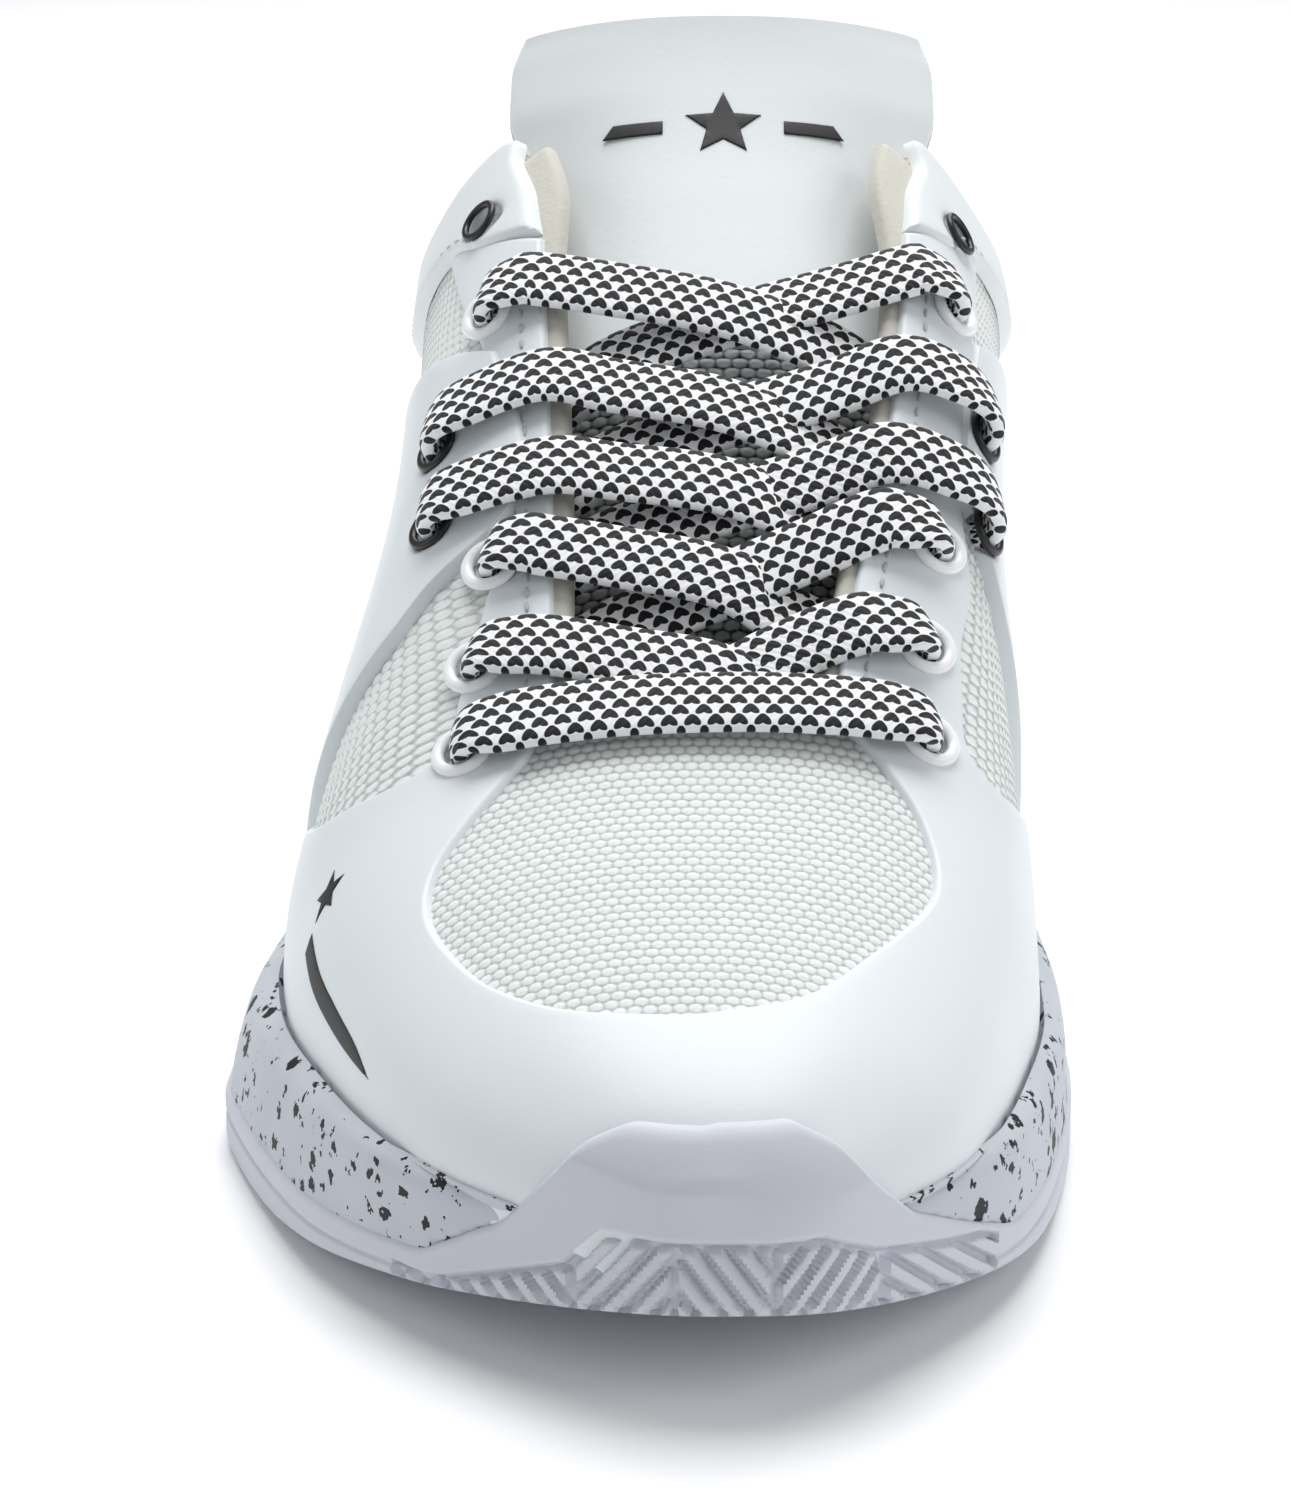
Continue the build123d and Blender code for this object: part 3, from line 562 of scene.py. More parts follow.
def braided_lace():
    """Flat braided polyester lace: white with staggered black heart-shaped marks."""
    mat = material("polyester_braid_black_white", "#F2F3F4", 0.7, Specular_IOR_Level=0.3, Sheen_Weight=0.2)
    fx, fy = cell_pattern(mat, LACE_PITCH, LACE_ROW)
    ax = maths(mat, "ABSOLUTE", (fx, 0))
    lean = maths(mat, "MULTIPLY_ADD", (ax, 0), 1.15, -0.12)
    hy = maths(mat, "ADD", (fy, 0), (lean, 0))
    sx = maths(mat, "DIVIDE", (ax, 0), 0.37)
    sy = maths(mat, "DIVIDE", (hy, 0), 0.47)
    px = maths(mat, "POWER", (sx, 0), 2.0)
    py = maths(mat, "MULTIPLY", (sy, 0), (sy, 0))
    total = maths(mat, "ADD", (px, 0), (py, 0))
    mark = add(mat, "MapRange", {"interpolation_type": "SMOOTHSTEP"}, Value=(total, 0), From_Min=1.12,
               From_Max=0.88)
    colour = add(mat, "MixRGB", Fac=(mark, 0), Color1=linear("#F1F2F4"), Color2=linear("#0B0B0D"))
    shade(mat, "Base Color", colour, 0)
    uv = add(mat, "UVMap", {"uv_map": "cloth"})
    strands = add(mat, "TexWave", {"wave_type": "BANDS", "bands_direction": "DIAGONAL"}, Vector=(uv, 0), Scale=0.55,
                  Distortion=1.0)
    bump = add(mat, "Bump", Height=(strands, 0), Strength=0.4, Distance=0.1 * MM)
    shade(mat, "Normal", bump, 0)
    return mat


foam_speckled = speckled_foam()
# The second colour of each knitted cloth is painted shade in its stitch holes
toe_cloth = knitted_cloth("polyester_mesh_knitted", "#E6EAE8", "#96A09D", 1.75, 1.45, 0.75)
open_cloth = knitted_cloth("polyester_mesh_open_knitted", "#D9DDDD", "#2E3234", 2.2, 1.7, 1.0)
lining_cloth = knitted_cloth("polyester_lining_brushed", "#CFCDC3", "#8E8C82", 1.6, 1.4, 0.7)
backing = material("foam_backed_lining_cut", "#C9C7BC", 0.85, Sheen_Weight=0.2)
grain(backing, 0.9, 0.15, strength=0.9)
lace_cloth = braided_lace()
white_plastic = material("acetal_moulded_gloss", "#F4F5F6", 0.25)
black_plastic = material("acetal_moulded_black", "#101012", 0.35)
black_ink = material("screen_ink_black", "#0C0C0E", 0.5)
thread = material("polyester_thread_twisted", "#B9BEBE", 0.7)
board = material("cellulose_board_pressed", "#D8D3C6", 0.9)
sock_cloth = knitted_cloth("polyester_sock_cloth", "#C9CDD2", "#8B9096", 1.2, 1.1, 0.6)
sock_foam = material("eva_foam_cut", "#B9BDC4", 0.8)

# ---- camera and light
camera = bpy.data.cameras.new("camera")
camera.lens = 98.4
camera.sensor_width = 36.0
camera.clip_end = 50.0
camera_object = bpy.data.objects.new("camera", camera)
camera_object.location = (-0.0007, -0.543, 0.210)
camera_object.rotation_euler = (math.radians(72), 0, 0)
bpy.context.collection.objects.link(camera_object)
bpy.context.scene.camera = camera_object

world = bpy.data.worlds.new("studio")
bpy.context.scene.world = world
world.use_nodes = True
world.node_tree.nodes["Background"].inputs["Color"].default_value = (0.96, 0.975, 1.0, 1)
world.node_tree.nodes["Background"].inputs["Strength"].default_value = 0.30
bpy.context.scene.view_settings.view_transform = "Standard"


def area_light(name, place, aim, size, watts, colour=(1, 1, 1)):
    light = bpy.data.lights.new(name, "AREA")
    light.shape = "RECTANGLE"
    light.size, light.size_y = size
    light.energy = watts
    light.color = colour
    obj = bpy.data.objects.new(name, light)
    obj.location = place
    obj.rotation_euler = (Vector(aim) - Vector(place)).to_track_quat("-Z", "Y").to_euler()
    bpy.context.collection.objects.link(obj)


area_light("overhead", (0.03, 0.3, 1.1), (0, 0, 0), (0.9, 0.7), 12.0)
area_light("left_window", (-0.95, 0.0, 0.55), (0, 0, 0.05), (0.6, 0.6), 1.6, (0.95, 0.98, 1.0))
area_light("right_window", (0.85, -0.35, 0.6), (0, 0, 0.05), (0.6, 0.6), 2.4)
area_light("back_rim", (0.1, 0.9, 0.7), (0, 0, 0.05), (0.8, 0.5), 4.0)

bpy.ops.object.select_all(action="DESELECT")
bpy.ops.mesh.primitive_plane_add(size=12.0, location=(0, 0, 0))
floor = bpy.context.object
floor.name = "studio_floor"
floor.data.materials.append(material("paper_sweep_matt", "#FDFDFE", 0.9, Specular_IOR_Level=0.1))

# ---- outlines of the upper, all in strip coordinates
def plan_path(points):
    return [from_plan(x, s) for x, s in points]


def side_path(points, side):
    return [from_side(s, z, side) for s, z in points]


def feather_path(stations, side, lift=-3.0):
    path = []
    for s in stations:
        _, u, reach = row_at(s)
        path.append((float(u), side * (reach[0 if side < 0 else 1] - lift)))
    return path


def corner(path, at):
    """Doubles the points at the given places, which makes them corners."""
    out = []
    for i, point in enumerate(path):
        out.append(point)
        if i in at or i - len(path) in at:
            out.append(point)
    return out


LATERAL_EYELETS = [(-23.4, 76), (-22.3, 87.5), (-20.5, 100), (-28.0, 110.5), (-27.7, 123.5), (-22.0, 137.5)]
MEDIAL_EYELETS = [(34.6, 77.5), (34.8, 89.5), (37.0, 102.5), (43.2, 111.5), (43.6, 124), (41.0, 138)]
TOP_EYELETS = [(-23.0, 154), (42.0, 154)]
window_lateral = [(-12.4, 82), (-14.6, 73.6), (-17.5, 69.5), (-22.2, 63.5), (-26, 57), (-26.6, 50.5), (-24.2, 43),
                  (-18.4, 33), (-10, 25.8), (0, 23)]
window_medial = [(8, 23.4), (17.5, 27.4), (25.5, 37.5), (32.4, 49), (34.2, 56.5), (32.6, 64.5), (28.5, 71),
                 (24.6, 75.6), (23.4, 82)]
throat_lateral = [(-12.5, 92), (-12.8, 106), (-13.6, 122), (-14.6, 140)]
throat_medial = [(26.4, 96), (30.3, 111), (32.8, 126), (34.3, 141)]
quarter_lateral = [(102, 35), (86, 39.5), (79, 45.6), (76.6, 49.8), (78.3, 53), (84, 57), (90, 61.7), (97, 67.8),
                   (105, 75)]
quarter_medial = [(108, 35), (89, 39.5), (81, 45), (79, 49), (80.8, 52.4), (86.6, 56.5), (93, 61.4), (102, 66.8),
                  (112, 76)]
leg_lateral = [(115, 80), (126, 87), (133, 90.8), (144, 94.5), (152, 96.5), (157, 97.5)]
leg_medial = [(120, 80.5), (129, 86.2), (137, 90.5), (147, 94), (154, 96), (159, 97)]


def row_height(x, s):
    u, a = from_plan(x, s)
    return float(strip(u, a)[2])


around = feather_path([116, 100, 84, 68, 52, 38, 26, 17, 10.5, 6, 3.05], -1) + \
    feather_path([3.05, 6, 10.5, 17, 26, 38, 52, 68, 84, 100, 118], 1)
up_medial = side_path([(118, 34)] + quarter_medial + leg_medial, 1)
seam_medial = side_path([(159, 99.5), (152, 102.0)], 1) + plan_path([(34.5, 144.5)])
down_throat = plan_path(throat_medial[::-1] + window_medial[::-1])
up_throat = plan_path(window_lateral[::-1] + throat_lateral)
seam_lateral = plan_path([(-14.8, 144)]) + side_path([(150, 102.3), (157, 99.5)], -1)
down_lateral = side_path(leg_lateral[::-1] + quarter_lateral[::-1] + [(116, 34)], -1)
overlay_line = (corner(around, (0, -1)) + corner(up_medial, (0, -1)) + corner(seam_medial, (-1,)) + down_throat
                + up_throat + corner(seam_lateral, (0, -1)) + corner(down_lateral, (0, -1)))


def ring(x, s, radius=2.6, count=20):
    u, a = from_plan(x, s)
    turn = np.linspace(0, 2 * math.pi, count, endpoint=False)
    return np.stack([u + radius * np.cos(turn), a + radius * np.sin(turn)], -1)


white_rows = [LATERAL_EYELETS[i] for i in (0, 1, 2, 5)] + [MEDIAL_EYELETS[i] for i in (0, 1, 2, 5)]
black_rows = [LATERAL_EYELETS[i] for i in (3, 4)] + [MEDIAL_EYELETS[i] for i in (3, 4)]
overlay_loops = [curve(overlay_line)] + [ring(*p) for p in white_rows]
overlay = panel("toe_overlay", strip, overlay_loops, 1.7, 0.0, 0.8, 1.2, 0.8)
finish_piece(overlay, film, replaces=("toe_overlay", "toe_puff"))

strap_front_lateral = [(131, 91.4), (116, 83.2), (108, 77.4), (104, 72.8), (101.5, 66.4), (99.2, 60), (98.5, 48),
                       (100, 32)]
strap_front_medial = [(137, 91.0), (127, 86.4), (116, 79.6), (111.5, 74.5), (108, 67), (105.5, 60), (104.5, 48),
                      (106, 32)]
strap_lateral = (side_path(strap_front_lateral, -1) + feather_path([101, 130, 168], -1)
                 + side_path([(164, 45), (155, 72), (145, 84)], -1))
strap_medial = (side_path(strap_front_medial, 1) + feather_path([107, 135, 170], 1)
                + side_path([(167, 45), (160, 70), (150, 84)], 1))
for line, rows, word in ((strap_lateral, black_rows[:2], "lateral"), (strap_medial, black_rows[2:], "medial")):
    loop = curve(corner(line, (0, 8, 10)))
    piece = panel(word + "_strap", strip, [loop] + [ring(*p) for p in rows], 1.9, 0.9, 0.9, 2.0, 1.2)
    finish_piece(piece, film, replaces=(word + "_strap",))

# Eyestay backing: the foam and cloth seen as an edge along the throat
for word, side, edge in (
        ("lateral", -1, window_lateral[:1] + throat_lateral + [(-16.4, 152), (-18.8, 161)]),
        ("medial", 1, window_medial[-1:] + throat_medial + [(35.2, 152), (37.0, 161)])):
    inner = [(x - side * (2.3 if s < 145 else 4.2), s) for x, s in edge]
    outer = [(x + side * (13 if s < 140 else 9), s) for x, s in edge[::-1]]
    line = corner(plan_path(inner + outer), (0, len(inner) - 1, len(inner), -1))
    backing_strip = panel(word + "_eyestay_backing", lambda u, a, h: strip(u, a, h - 1.1), [curve(line)],
                          1.8, 0.0, 1.3, 2.2, 1.4)
    finish_piece(backing_strip, backing, replaces=(word + "_eyestay_backing",))

# ---- knitted cloth, with its cells in the mesh itself
def cloth_height(u, a, across=1.75, along=1.45, depth=0.26):
    row = np.floor(u / along)
    fy = u / along - row - 0.5
    fx = a / across + 0.5 * np.abs(np.mod(row, 2))
    fx = fx - np.floor(fx) - 0.5
    return depth * np.maximum(0, 1 - (fx / 0.52) ** 2 - (fy / 0.5) ** 2 * 0.9) ** 0.7


def cloth_piece(name, place, u_range, a_range, keep, step, base, across=1.75, along=1.45, thickness=0.5):
    us = np.arange(u_range[0], u_range[1] + step, step)
    as_ = np.arange(a_range[0], a_range[1] + step, step)
    gu, ga = np.meshgrid(us, as_, indexing="ij")
    good = keep(gu, ga)
    points = place(gu, ga, base + cloth_height(gu, ga, across, along))
    index = -np.ones(gu.shape, int)
    cell = good[:-1, :-1] & good[1:, :-1] & good[1:, 1:] & good[:-1, 1:]
    used = np.zeros(gu.shape, bool)
    for du in (0, 1):
        for da in (0, 1):
            used[du:du + cell.shape[0], da:da + cell.shape[1]] |= cell
    index[used] = np.arange(used.sum())
    i, j = np.nonzero(cell)
    faces = np.stack([index[i, j], index[i, j + 1], index[i + 1, j + 1], index[i + 1, j]], -1)
    obj = mesh_object(name, points[used], faces, np.stack([gu[used], ga[used]], -1))
    only(obj)
    test = obj.data.polygons[0]
    out = place(gu[used][:1], ga[used][:1], np.array([1.0])) - place(gu[used][:1], ga[used][:1], np.array([0.0]))
    if Vector(out[0]).dot(test.normal) < 0:
        obj.data.flip_normals()
    modifier(obj, "SOLIDIFY", thickness=thickness * MM, offset=-1)
    return obj


window_loop = curve(plan_path([(x - 2.2, s) for x, s in window_lateral] + [(0, 20.6), (8, 21)]
                              + [(x + 2.4, s) for x, s in window_medial[1:]] + [(-10, 82.5)]))


def in_window(u, a):
    return inside(np.stack([u.ravel(), a.ravel()], -1), [window_loop]).reshape(u.shape)


low, high = window_loop.min(0), window_loop.max(0)
toe_mesh = cloth_piece("toe_mesh", strip, (low[0], high[0]), (low[1], high[1]), in_window, 0.4, -1.15)
finish_piece(toe_mesh, toe_cloth, replaces=("mesh_upper",), smooth=60)


def rear_keep(q, z):
    s = wall_s(q)
    x = wall(q, z)[..., 0]
    beside = (x < -17) | (x > np.interp(s, [96, 111, 126, 141], [30, 34, 37, 39]))
    return beside & (z > feather(s) - 2) & (z < np.where(s < 150, 200, topline(s) - 6))


for word, q_range in (("lateral", (74.0, 256.0)), ("medial", (Q_END - 256.0, Q_END - 76.0))):
    side_mesh = cloth_piece(word + "_quarter_mesh", wall, q_range, (20.0, 106.0), rear_keep, 0.44, -1.15,
                            across=1.7, along=1.5)
    finish_piece(side_mesh, toe_cloth, smooth=60)

# ---- rear panels
Q_MID = Q_END / 2
heel_line = [(207, 26), (Q_MID - 40, 27), (Q_MID, 27), (Q_MID + 40, 27), (Q_END - 207, 26), (Q_END - 206, 50),
             (Q_END - 212, 66), (Q_END - 232, 74), (Q_MID + 25, 78), (Q_MID, 80), (Q_MID - 25, 78), (232, 74),
             (212, 66), (206, 50)]
heel_panel = panel("heel_panel", wall, [curve(corner(heel_line, (0, 4)))], 2.2, 0.0, 0.9, 1.3, 0.9)
finish_piece(heel_panel, film, replaces=("heel_panel", "heel_counter"))


def wall_of_plan(x, s, side):
    return (s if side < 0 else Q_END - s, row_height(x, s))


def at(s, z, side):
    """Wall coordinates of a point seen from the side."""
    return (s if side < 0 else Q_END - s, z)


# How far the collar panels end below the edge of the collar
ROLL = 3.2
for word, side in (("lateral", -1), ("medial", 1)):
    heel_side = at(HEEL_START, 0, side)[0]
    edge_x = [(-14.9, 145), (-16.2, 153), (-18.2, 160)] if side < 0 else [(34.6, 145), (35.6, 153), (37.2, 160)]
    seam = [at(s, z, side) for s, z in ((150, 101.5), (158, 98.5), (166, 91.5), (178, 82), (196, 75), (220, 72.5))]
    rest = np.linspace(heel_side, Q_MID, 6)[1:]
    seam += [(q, 73 + 5 * (abs(q - heel_side) / (HEEL_RUN / 2))) for q in rest]
    top = [(q, float(topline(wall_s(q))) - ROLL) for q in rest[::-1]]
    top += [at(s, float(topline(s)) - ROLL, side) for s in (226, 212, 198, 185, 176, 169)]
    top += [at(164.5, 114.2, side)]
    throat = [wall_of_plan(x, s, side) for x, s in edge_x[::-1]]
    line = seam + top + throat
    n = len(seam)
    loop = curve(corner(line, (n - 1, n, len(line) - 1)))
    hole_q, hole_z = wall_of_plan(*TOP_EYELETS[0 if side < 0 else 1], side)
    turn = np.linspace(0, 2 * math.pi, 20, endpoint=False)
    eyelet_hole = np.stack([hole_q + 2.4 * np.cos(turn), hole_z + 2.0 * np.sin(turn)], -1)
    piece = panel(word + "_collar_panel", wall, [loop, eyelet_hole], 1.8, 0.6, 1.1, 1.9, 1.0,
                  swell=lambda q, z: 0.5 * np.exp(-(((z - 92) / 9) ** 2)))
    finish_piece(piece, soft_film, replaces=(word + "_collar_panel",))

def collar_top(q):
    """Height of the collar's edge. At the front it stops at the edges of the throat."""
    q = np.asarray(q, float)
    s = wall_s(q)
    edge_x = np.where(q < Q_MID, -18.4, 36.6)
    on_edge = skin_height(edge_x, np.minimum(s, HEEL_START))
    return np.where(s < 178, np.minimum(topline(s), on_edge), topline(s))


# Collar: padded roll and lining, from the front corner of one side round the heel to the other
def collar_piece():
    q_line = np.concatenate([np.linspace(157, HEEL_START, 90), np.linspace(HEEL_START, Q_END - HEEL_START, 110)[1:],
                             np.linspace(Q_END - HEEL_START, Q_END - 157, 90)[1:]])
    s_line = wall_s(q_line)
    end = np.clip((np.minimum(q_line, Q_END - q_line) - 157) / 12, 0, 1)
    thick = 5.0 + 5.0 * np.sqrt(end) * np.clip((s_line - 150) / 40, 0.1, 1)
    top = collar_top(q_line) - 0.6
    floor_z = np.interp(s_line, [157, 175, 200, 270], [84, 58, 40, 40])
    rows = []
    for q, z, t, bottom in zip(q_line, top, thick, floor_z):
        r = t / 2
        profile = [(z - 9, -1.4), (z - 6, -0.6)]
        for angle in np.linspace(0, math.pi, 17):
            profile.append((z - r + r * math.sin(angle), -0.2 - r + r * math.cos(angle)))
        inner = -0.2 - t
        span = z - r - bottom
        for share in np.linspace(0.08, 1, 22):
            bulge = 1.3 * math.sin(math.pi * min(1, share * 1.15)) if share < 0.87 else 0
            slim = (t - 4.2) * max(0, share - 0.25) / 0.75
            profile.append((z - r - span * share, inner - bulge + slim))
        profile.append((bottom, -2.0))
        profile = np.array(profile)
        if not rows:
            first = profile
        rows.append(wall(np.full(len(profile), q), profile[:, 0], profile[:, 1]))
    points = np.array(rows)
    run = np.concatenate([[0], np.cumsum(np.hypot(np.diff(first[:, 0]), np.diff(first[:, 1])))])
    uv = np.stack(np.meshgrid(q_line, run, indexing="ij"), -1)
    obj = grid_sheet("collar_lining", points, closed_rows=True, uv=uv, caps=True)
    outward(obj)
    return obj


collar = collar_piece()
finish_piece(collar, lining_cloth, replaces=("collar_lining", "collar_padding"), smooth=60)

# Quarter lining: the inside of the walls below the collar
def quarter_lining():
    q_line = np.concatenate([np.linspace(70, HEEL_START, 70), np.linspace(HEEL_START, Q_END - HEEL_START, 50)[1:],
                             np.linspace(Q_END - HEEL_START, Q_END - 70, 70)[1:]])
    s_line = wall_s(q_line)
    low = feather(s_line) + 0.5
    high = np.interp(s_line, [70, 100, 130, 160, 175, 200, 270], [42, 60, 78, 92, 64, 50, 50])
    share = np.linspace(0, 1, 14)
    z = low[:, None] + (high - low)[:, None] * share[None, :]
    q = np.repeat(q_line[:, None], 14, 1)
    outer = wall(q, z, -2.4)
    inner = wall(q, z, -3.4)
    points = np.concatenate([outer, inner[:, ::-1]], axis=1)
    uv = np.stack([np.concatenate([q, q], 1), np.concatenate([z, z[:, ::-1]], 1)], -1)
    obj = grid_sheet("quarter_lining", points, closed_rows=True, uv=uv, caps=True)
    outward(obj)
    return obj


finish_piece(quarter_lining(), lining_cloth, smooth=60)

# ---- tongue: padded, mesh face below, smooth cover above
# Front face as (s, z), half width and middle as (s, x)
TONGUE_PATH = np.array([(76, 44.0), (79, 46.8), (90, 55.5), (105, 66.8), (125, 81.8), (145, 97.0), (157, 106.0),
                        (164, 112.0), (171, 119.5), (176.5, 126.3), (178.8, 129.6)])
TONGUE_HALF = [(76, 15.5), (79, 16.8), (90, 21.5), (105, 25.5), (125, 27.2), (145, 27.4), (157, 27.4), (164, 27.8),
               (168, 28.8), (172, 30.4), (176, 30.2), (178.8, 28.0)]
TONGUE_X = [(76, 5.5), (90, 7.0), (105, 8.8), (125, 9.6), (145, 10.0), (180, 10.3)]
tongue_run = np.concatenate([[0], np.cumsum(np.hypot(*np.diff(TONGUE_PATH, axis=0).T))])
tongue_s = smooth_line(np.stack([tongue_run, TONGUE_PATH[:, 0]], -1))
tongue_z = smooth_line(np.stack([tongue_run, TONGUE_PATH[:, 1]], -1))
tongue_half = smooth_line(TONGUE_HALF)
tongue_mid = smooth_line(TONGUE_X)
TONGUE_LENGTH = tongue_run[-1]
# Where the mesh face ends and the smooth cover begins, and the cells of the open mesh
COVER_START, COVER_LIFT = 77.0, 0.35
OPEN_ACROSS, OPEN_ALONG, OPEN_DEPTH = 2.2, 1.7, 0.45


def tongue_point(w, x, off=0.0):
    """Point of the tongue's front face: w along it in mm, x across from its middle, off outwards."""
    w, x = np.asarray(w, float), np.asarray(x, float)
    s, z = tongue_s(w), tongue_z(w)
    ds, dz = tongue_s(w + 0.5) - tongue_s(w - 0.5), tongue_z(w + 0.5) - tongue_z(w - 0.5)
    size = np.hypot(ds, dz) + 1e-9
    ns, nz = -dz / size, ds / size
    half = tongue_half(s)
    arch = 6.2 * np.abs(x / half) ** 2.3
    lift = np.asarray(off, float) - arch
    return np.stack([tongue_mid(s) + x, s + ns * lift, z + nz * lift], -1)


def tongue_crown(w):
    """How far the padded tip swells at its middle."""
    return np.exp(-(((w - 108) / 18) ** 2))


def tongue_piece():
    w_line = np.concatenate([np.arange(0.6, COVER_START, 0.55), np.linspace(COVER_START, TONGUE_LENGTH - 0.6, 60)])
    columns = 120
    turn = np.linspace(0, 2 * math.pi, 2 * columns, endpoint=False)
    cx = np.sign(np.cos(turn)) * np.abs(np.cos(turn)) ** 0.8
    cy = np.sign(np.sin(turn)) * np.abs(np.sin(turn)) ** 0.55
    rows, uvs = [], []
    for w in w_line:
        s = float(tongue_s(w))
        half = float(tongue_half(s))
        end = min(1.0, (TONGUE_LENGTH - w) / 6.0, (w + 3) / 6.0)
        end = math.sqrt(max(0.0, 1 - (1 - end) ** 2))
        thick = np.interp(w, [0, 20, 70, 85, 130], [5.0, 5.8, 6.2, 8.0, 8.6]) * end
        x = half * cx
        face = cy > 0
        off = thick / 2 * cy - thick / 2 + (COVER_LIFT if w >= COVER_START else 0.0) * (cy + 1) / 2
        if w < COVER_START:
            row = math.floor(w / OPEN_ALONG)
            fy = w / OPEN_ALONG - row - 0.5
            fx = x / OPEN_ACROSS + 0.5 * (abs(row) % 2)
            fx = fx - np.floor(fx) - 0.5
            pit = OPEN_DEPTH * np.clip(((fx / 0.5) ** 2 + (fy / 0.5) ** 2 - 0.35) * 1.6, 0, 1)
            off = off - np.where(face, pit, 0) * np.clip(cy * 2, 0, 1)
        else:
            off = off + np.where(face, tongue_crown(w) * (1 - (x / half) ** 2), 0)
        rows.append(tongue_point(np.full(len(x), w), x, off))
        uvs.append(np.stack([np.full(columns * 2, w), x], -1))
    obj = grid_sheet("tongue", np.array(rows), closed_rows=True, uv=np.array(uvs), caps=True)
    outward(obj)
    for item in (open_cloth, soft_film, lining_cloth):
        obj.data.materials.append(item)
    pick = []
    for face in obj.data.polygons:
        n = face.normal
        front = n.y * -0.6 + n.z * 0.8 > 0.05
        s = (face.center.y / MM) + HALF_LENGTH
        w = float(np.interp(s, TONGUE_PATH[:, 0], tongue_run))
        pick.append(int(w > COVER_START - 0.5) if front else 2)
    obj.data.polygons.foreach_set("material_index", pick)
    return obj


tongue = tongue_piece()
only(tongue)
bpy.ops.object.shade_smooth_by_angle(angle=math.radians(55))
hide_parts("tongue_mesh_face", "tongue_foam", "tongue_lining", "tongue_tip_cover", "tongue_tip_foam",
            "tongue_tip_lining")


def fold_point(w):
    x, y, z = tongue_point(np.array([w]), np.array([0.0]), np.array([-4.0]))[0]
    return (x * MM, (y - HALF_LENGTH) * MM, z * MM)


fold_point(94)
fold_point(110)
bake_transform(tongue)


def flat_mark(name, loops, place, mat, body, height=0.22, depth=0.5):
    piece = panel(name, place, loops, 0.9, height, 0.18, 0.2, depth)
    return finish_piece(piece, mat, body)


def star(cx, cy, radius, inner=0.45, points=5, turn=0.0):
    out = []
    for k in range(2 * points):
        r = radius if k % 2 == 0 else radius * inner
        angle = turn + math.pi * k / points
        out.append((cx + r * math.cos(angle), cy + r * math.sin(angle)))
    return out


def straight(points, step=0.8):
    return curve([p for p in points for _ in range(2)], step)


def tongue_place(w, x, h):
    return tongue_point(w, x, h + COVER_LIFT + tongue_crown(w) * (1 - (x / 27.5) ** 2))


# Generic marks: a star between two bars on the tongue, a tapered stroke with a star on the toe
flat_mark("tongue_star", [straight(star(115.5, 0, 5.6))], tongue_place, black_ink, "tongue_tip")
for word, sign in (("left", -1), ("right", 1)):
    bar_line = [(114.2, sign * 8.5), (114.2, sign * 17.0), (116.4, sign * 15.5), (116.4, sign * 8.5)]
    flat_mark("tongue_bar_" + word, [straight(bar_line)], tongue_place, black_ink, "tongue_tip")


def toe_stroke():
    low = side_path([(36, 25.4), (42, 25.8), (50, 26.6), (58, 28.0), (65, 30.2)], -1)
    high = side_path([(66, 32.6), (58, 30.4), (50, 29.0), (42, 27.6)], -1)
    return curve(corner(low + high, (0, len(low) - 1, len(low))))


flat_mark("toe_stroke", [toe_stroke()], strip, black_ink, "shoe", height=0.12, depth=0.4)
star_u, star_a = from_side(68.5, 36.8, -1)
flat_mark("toe_star", [straight(star(star_u, star_a, 3.4, turn=0.3))], strip, black_ink, "shoe",
          height=0.12, depth=0.4)

# ---- eyelets: moulded rings, turned to the surface
def placed_copy(name, source, frames):
    """One mesh of copies of a source mesh at (point, x axis, normal) frames."""
    base = np.array([v.co for v in source.data.vertices]) / MM
    faces = [list(p.vertices) for p in source.data.polygons]
    points, every = [], []
    for k, (place, along, normal) in enumerate(frames):
        normal = np.array(normal) / np.linalg.norm(normal)
        along = np.array(along) - normal * np.dot(along, normal)
        along /= np.linalg.norm(along)
        across = np.cross(normal, along)
        points.append(place + base[:, :1] * along + base[:, 1:2] * across + base[:, 2:] * normal)
        every += [[i + k * len(base) for i in f] for f in faces]
    obj = mesh_object(name, np.concatenate(points), every)
    bpy.data.objects.remove(source)
    return obj


def ring_source(outer, inner):
    """Flanged ring: a torus pressed a little flat."""
    bpy.ops.object.select_all(action="DESELECT")
    bpy.ops.mesh.primitive_torus_add(major_radius=(outer + inner) / 2 * MM, minor_radius=(outer - inner) / 2 * MM,
                                     major_segments=40, minor_segments=14)
    ring_obj = bpy.context.object
    bpy.ops.object.mode_set(mode="EDIT")
    bpy.ops.mesh.select_all(action="SELECT")
    bpy.ops.transform.resize(value=(1, 1, 0.85))
    bpy.ops.object.mode_set(mode="OBJECT")
    return ring_obj


def surface_frame(x, s, height=0.0):
    u, a = from_plan(x, s)
    return strip(u, a, np.array(height)), np.array([0.0, 1.0, 0.8]), strip_normal(u, a)


for name, places, mat, slot, nodes, lift in (
        ("white_eyelets", white_rows, white_plastic, "eyelet_white",
         ("lateral_white_eyelets", "medial_white_eyelets"), 0.25),
        ("strap_eyelets", black_rows, black_plastic, "eyelet_black",
         ("lateral_strap_eyelets", "medial_strap_eyelets"), 1.1)):
    source = ring_source(4.1 if lift < 1 else 3.7, 2.4)
    rings = placed_copy(name, source, [surface_frame(x, s, lift) for x, s in places])
    finish_piece(rings, mat, replaces=nodes, smooth=60)


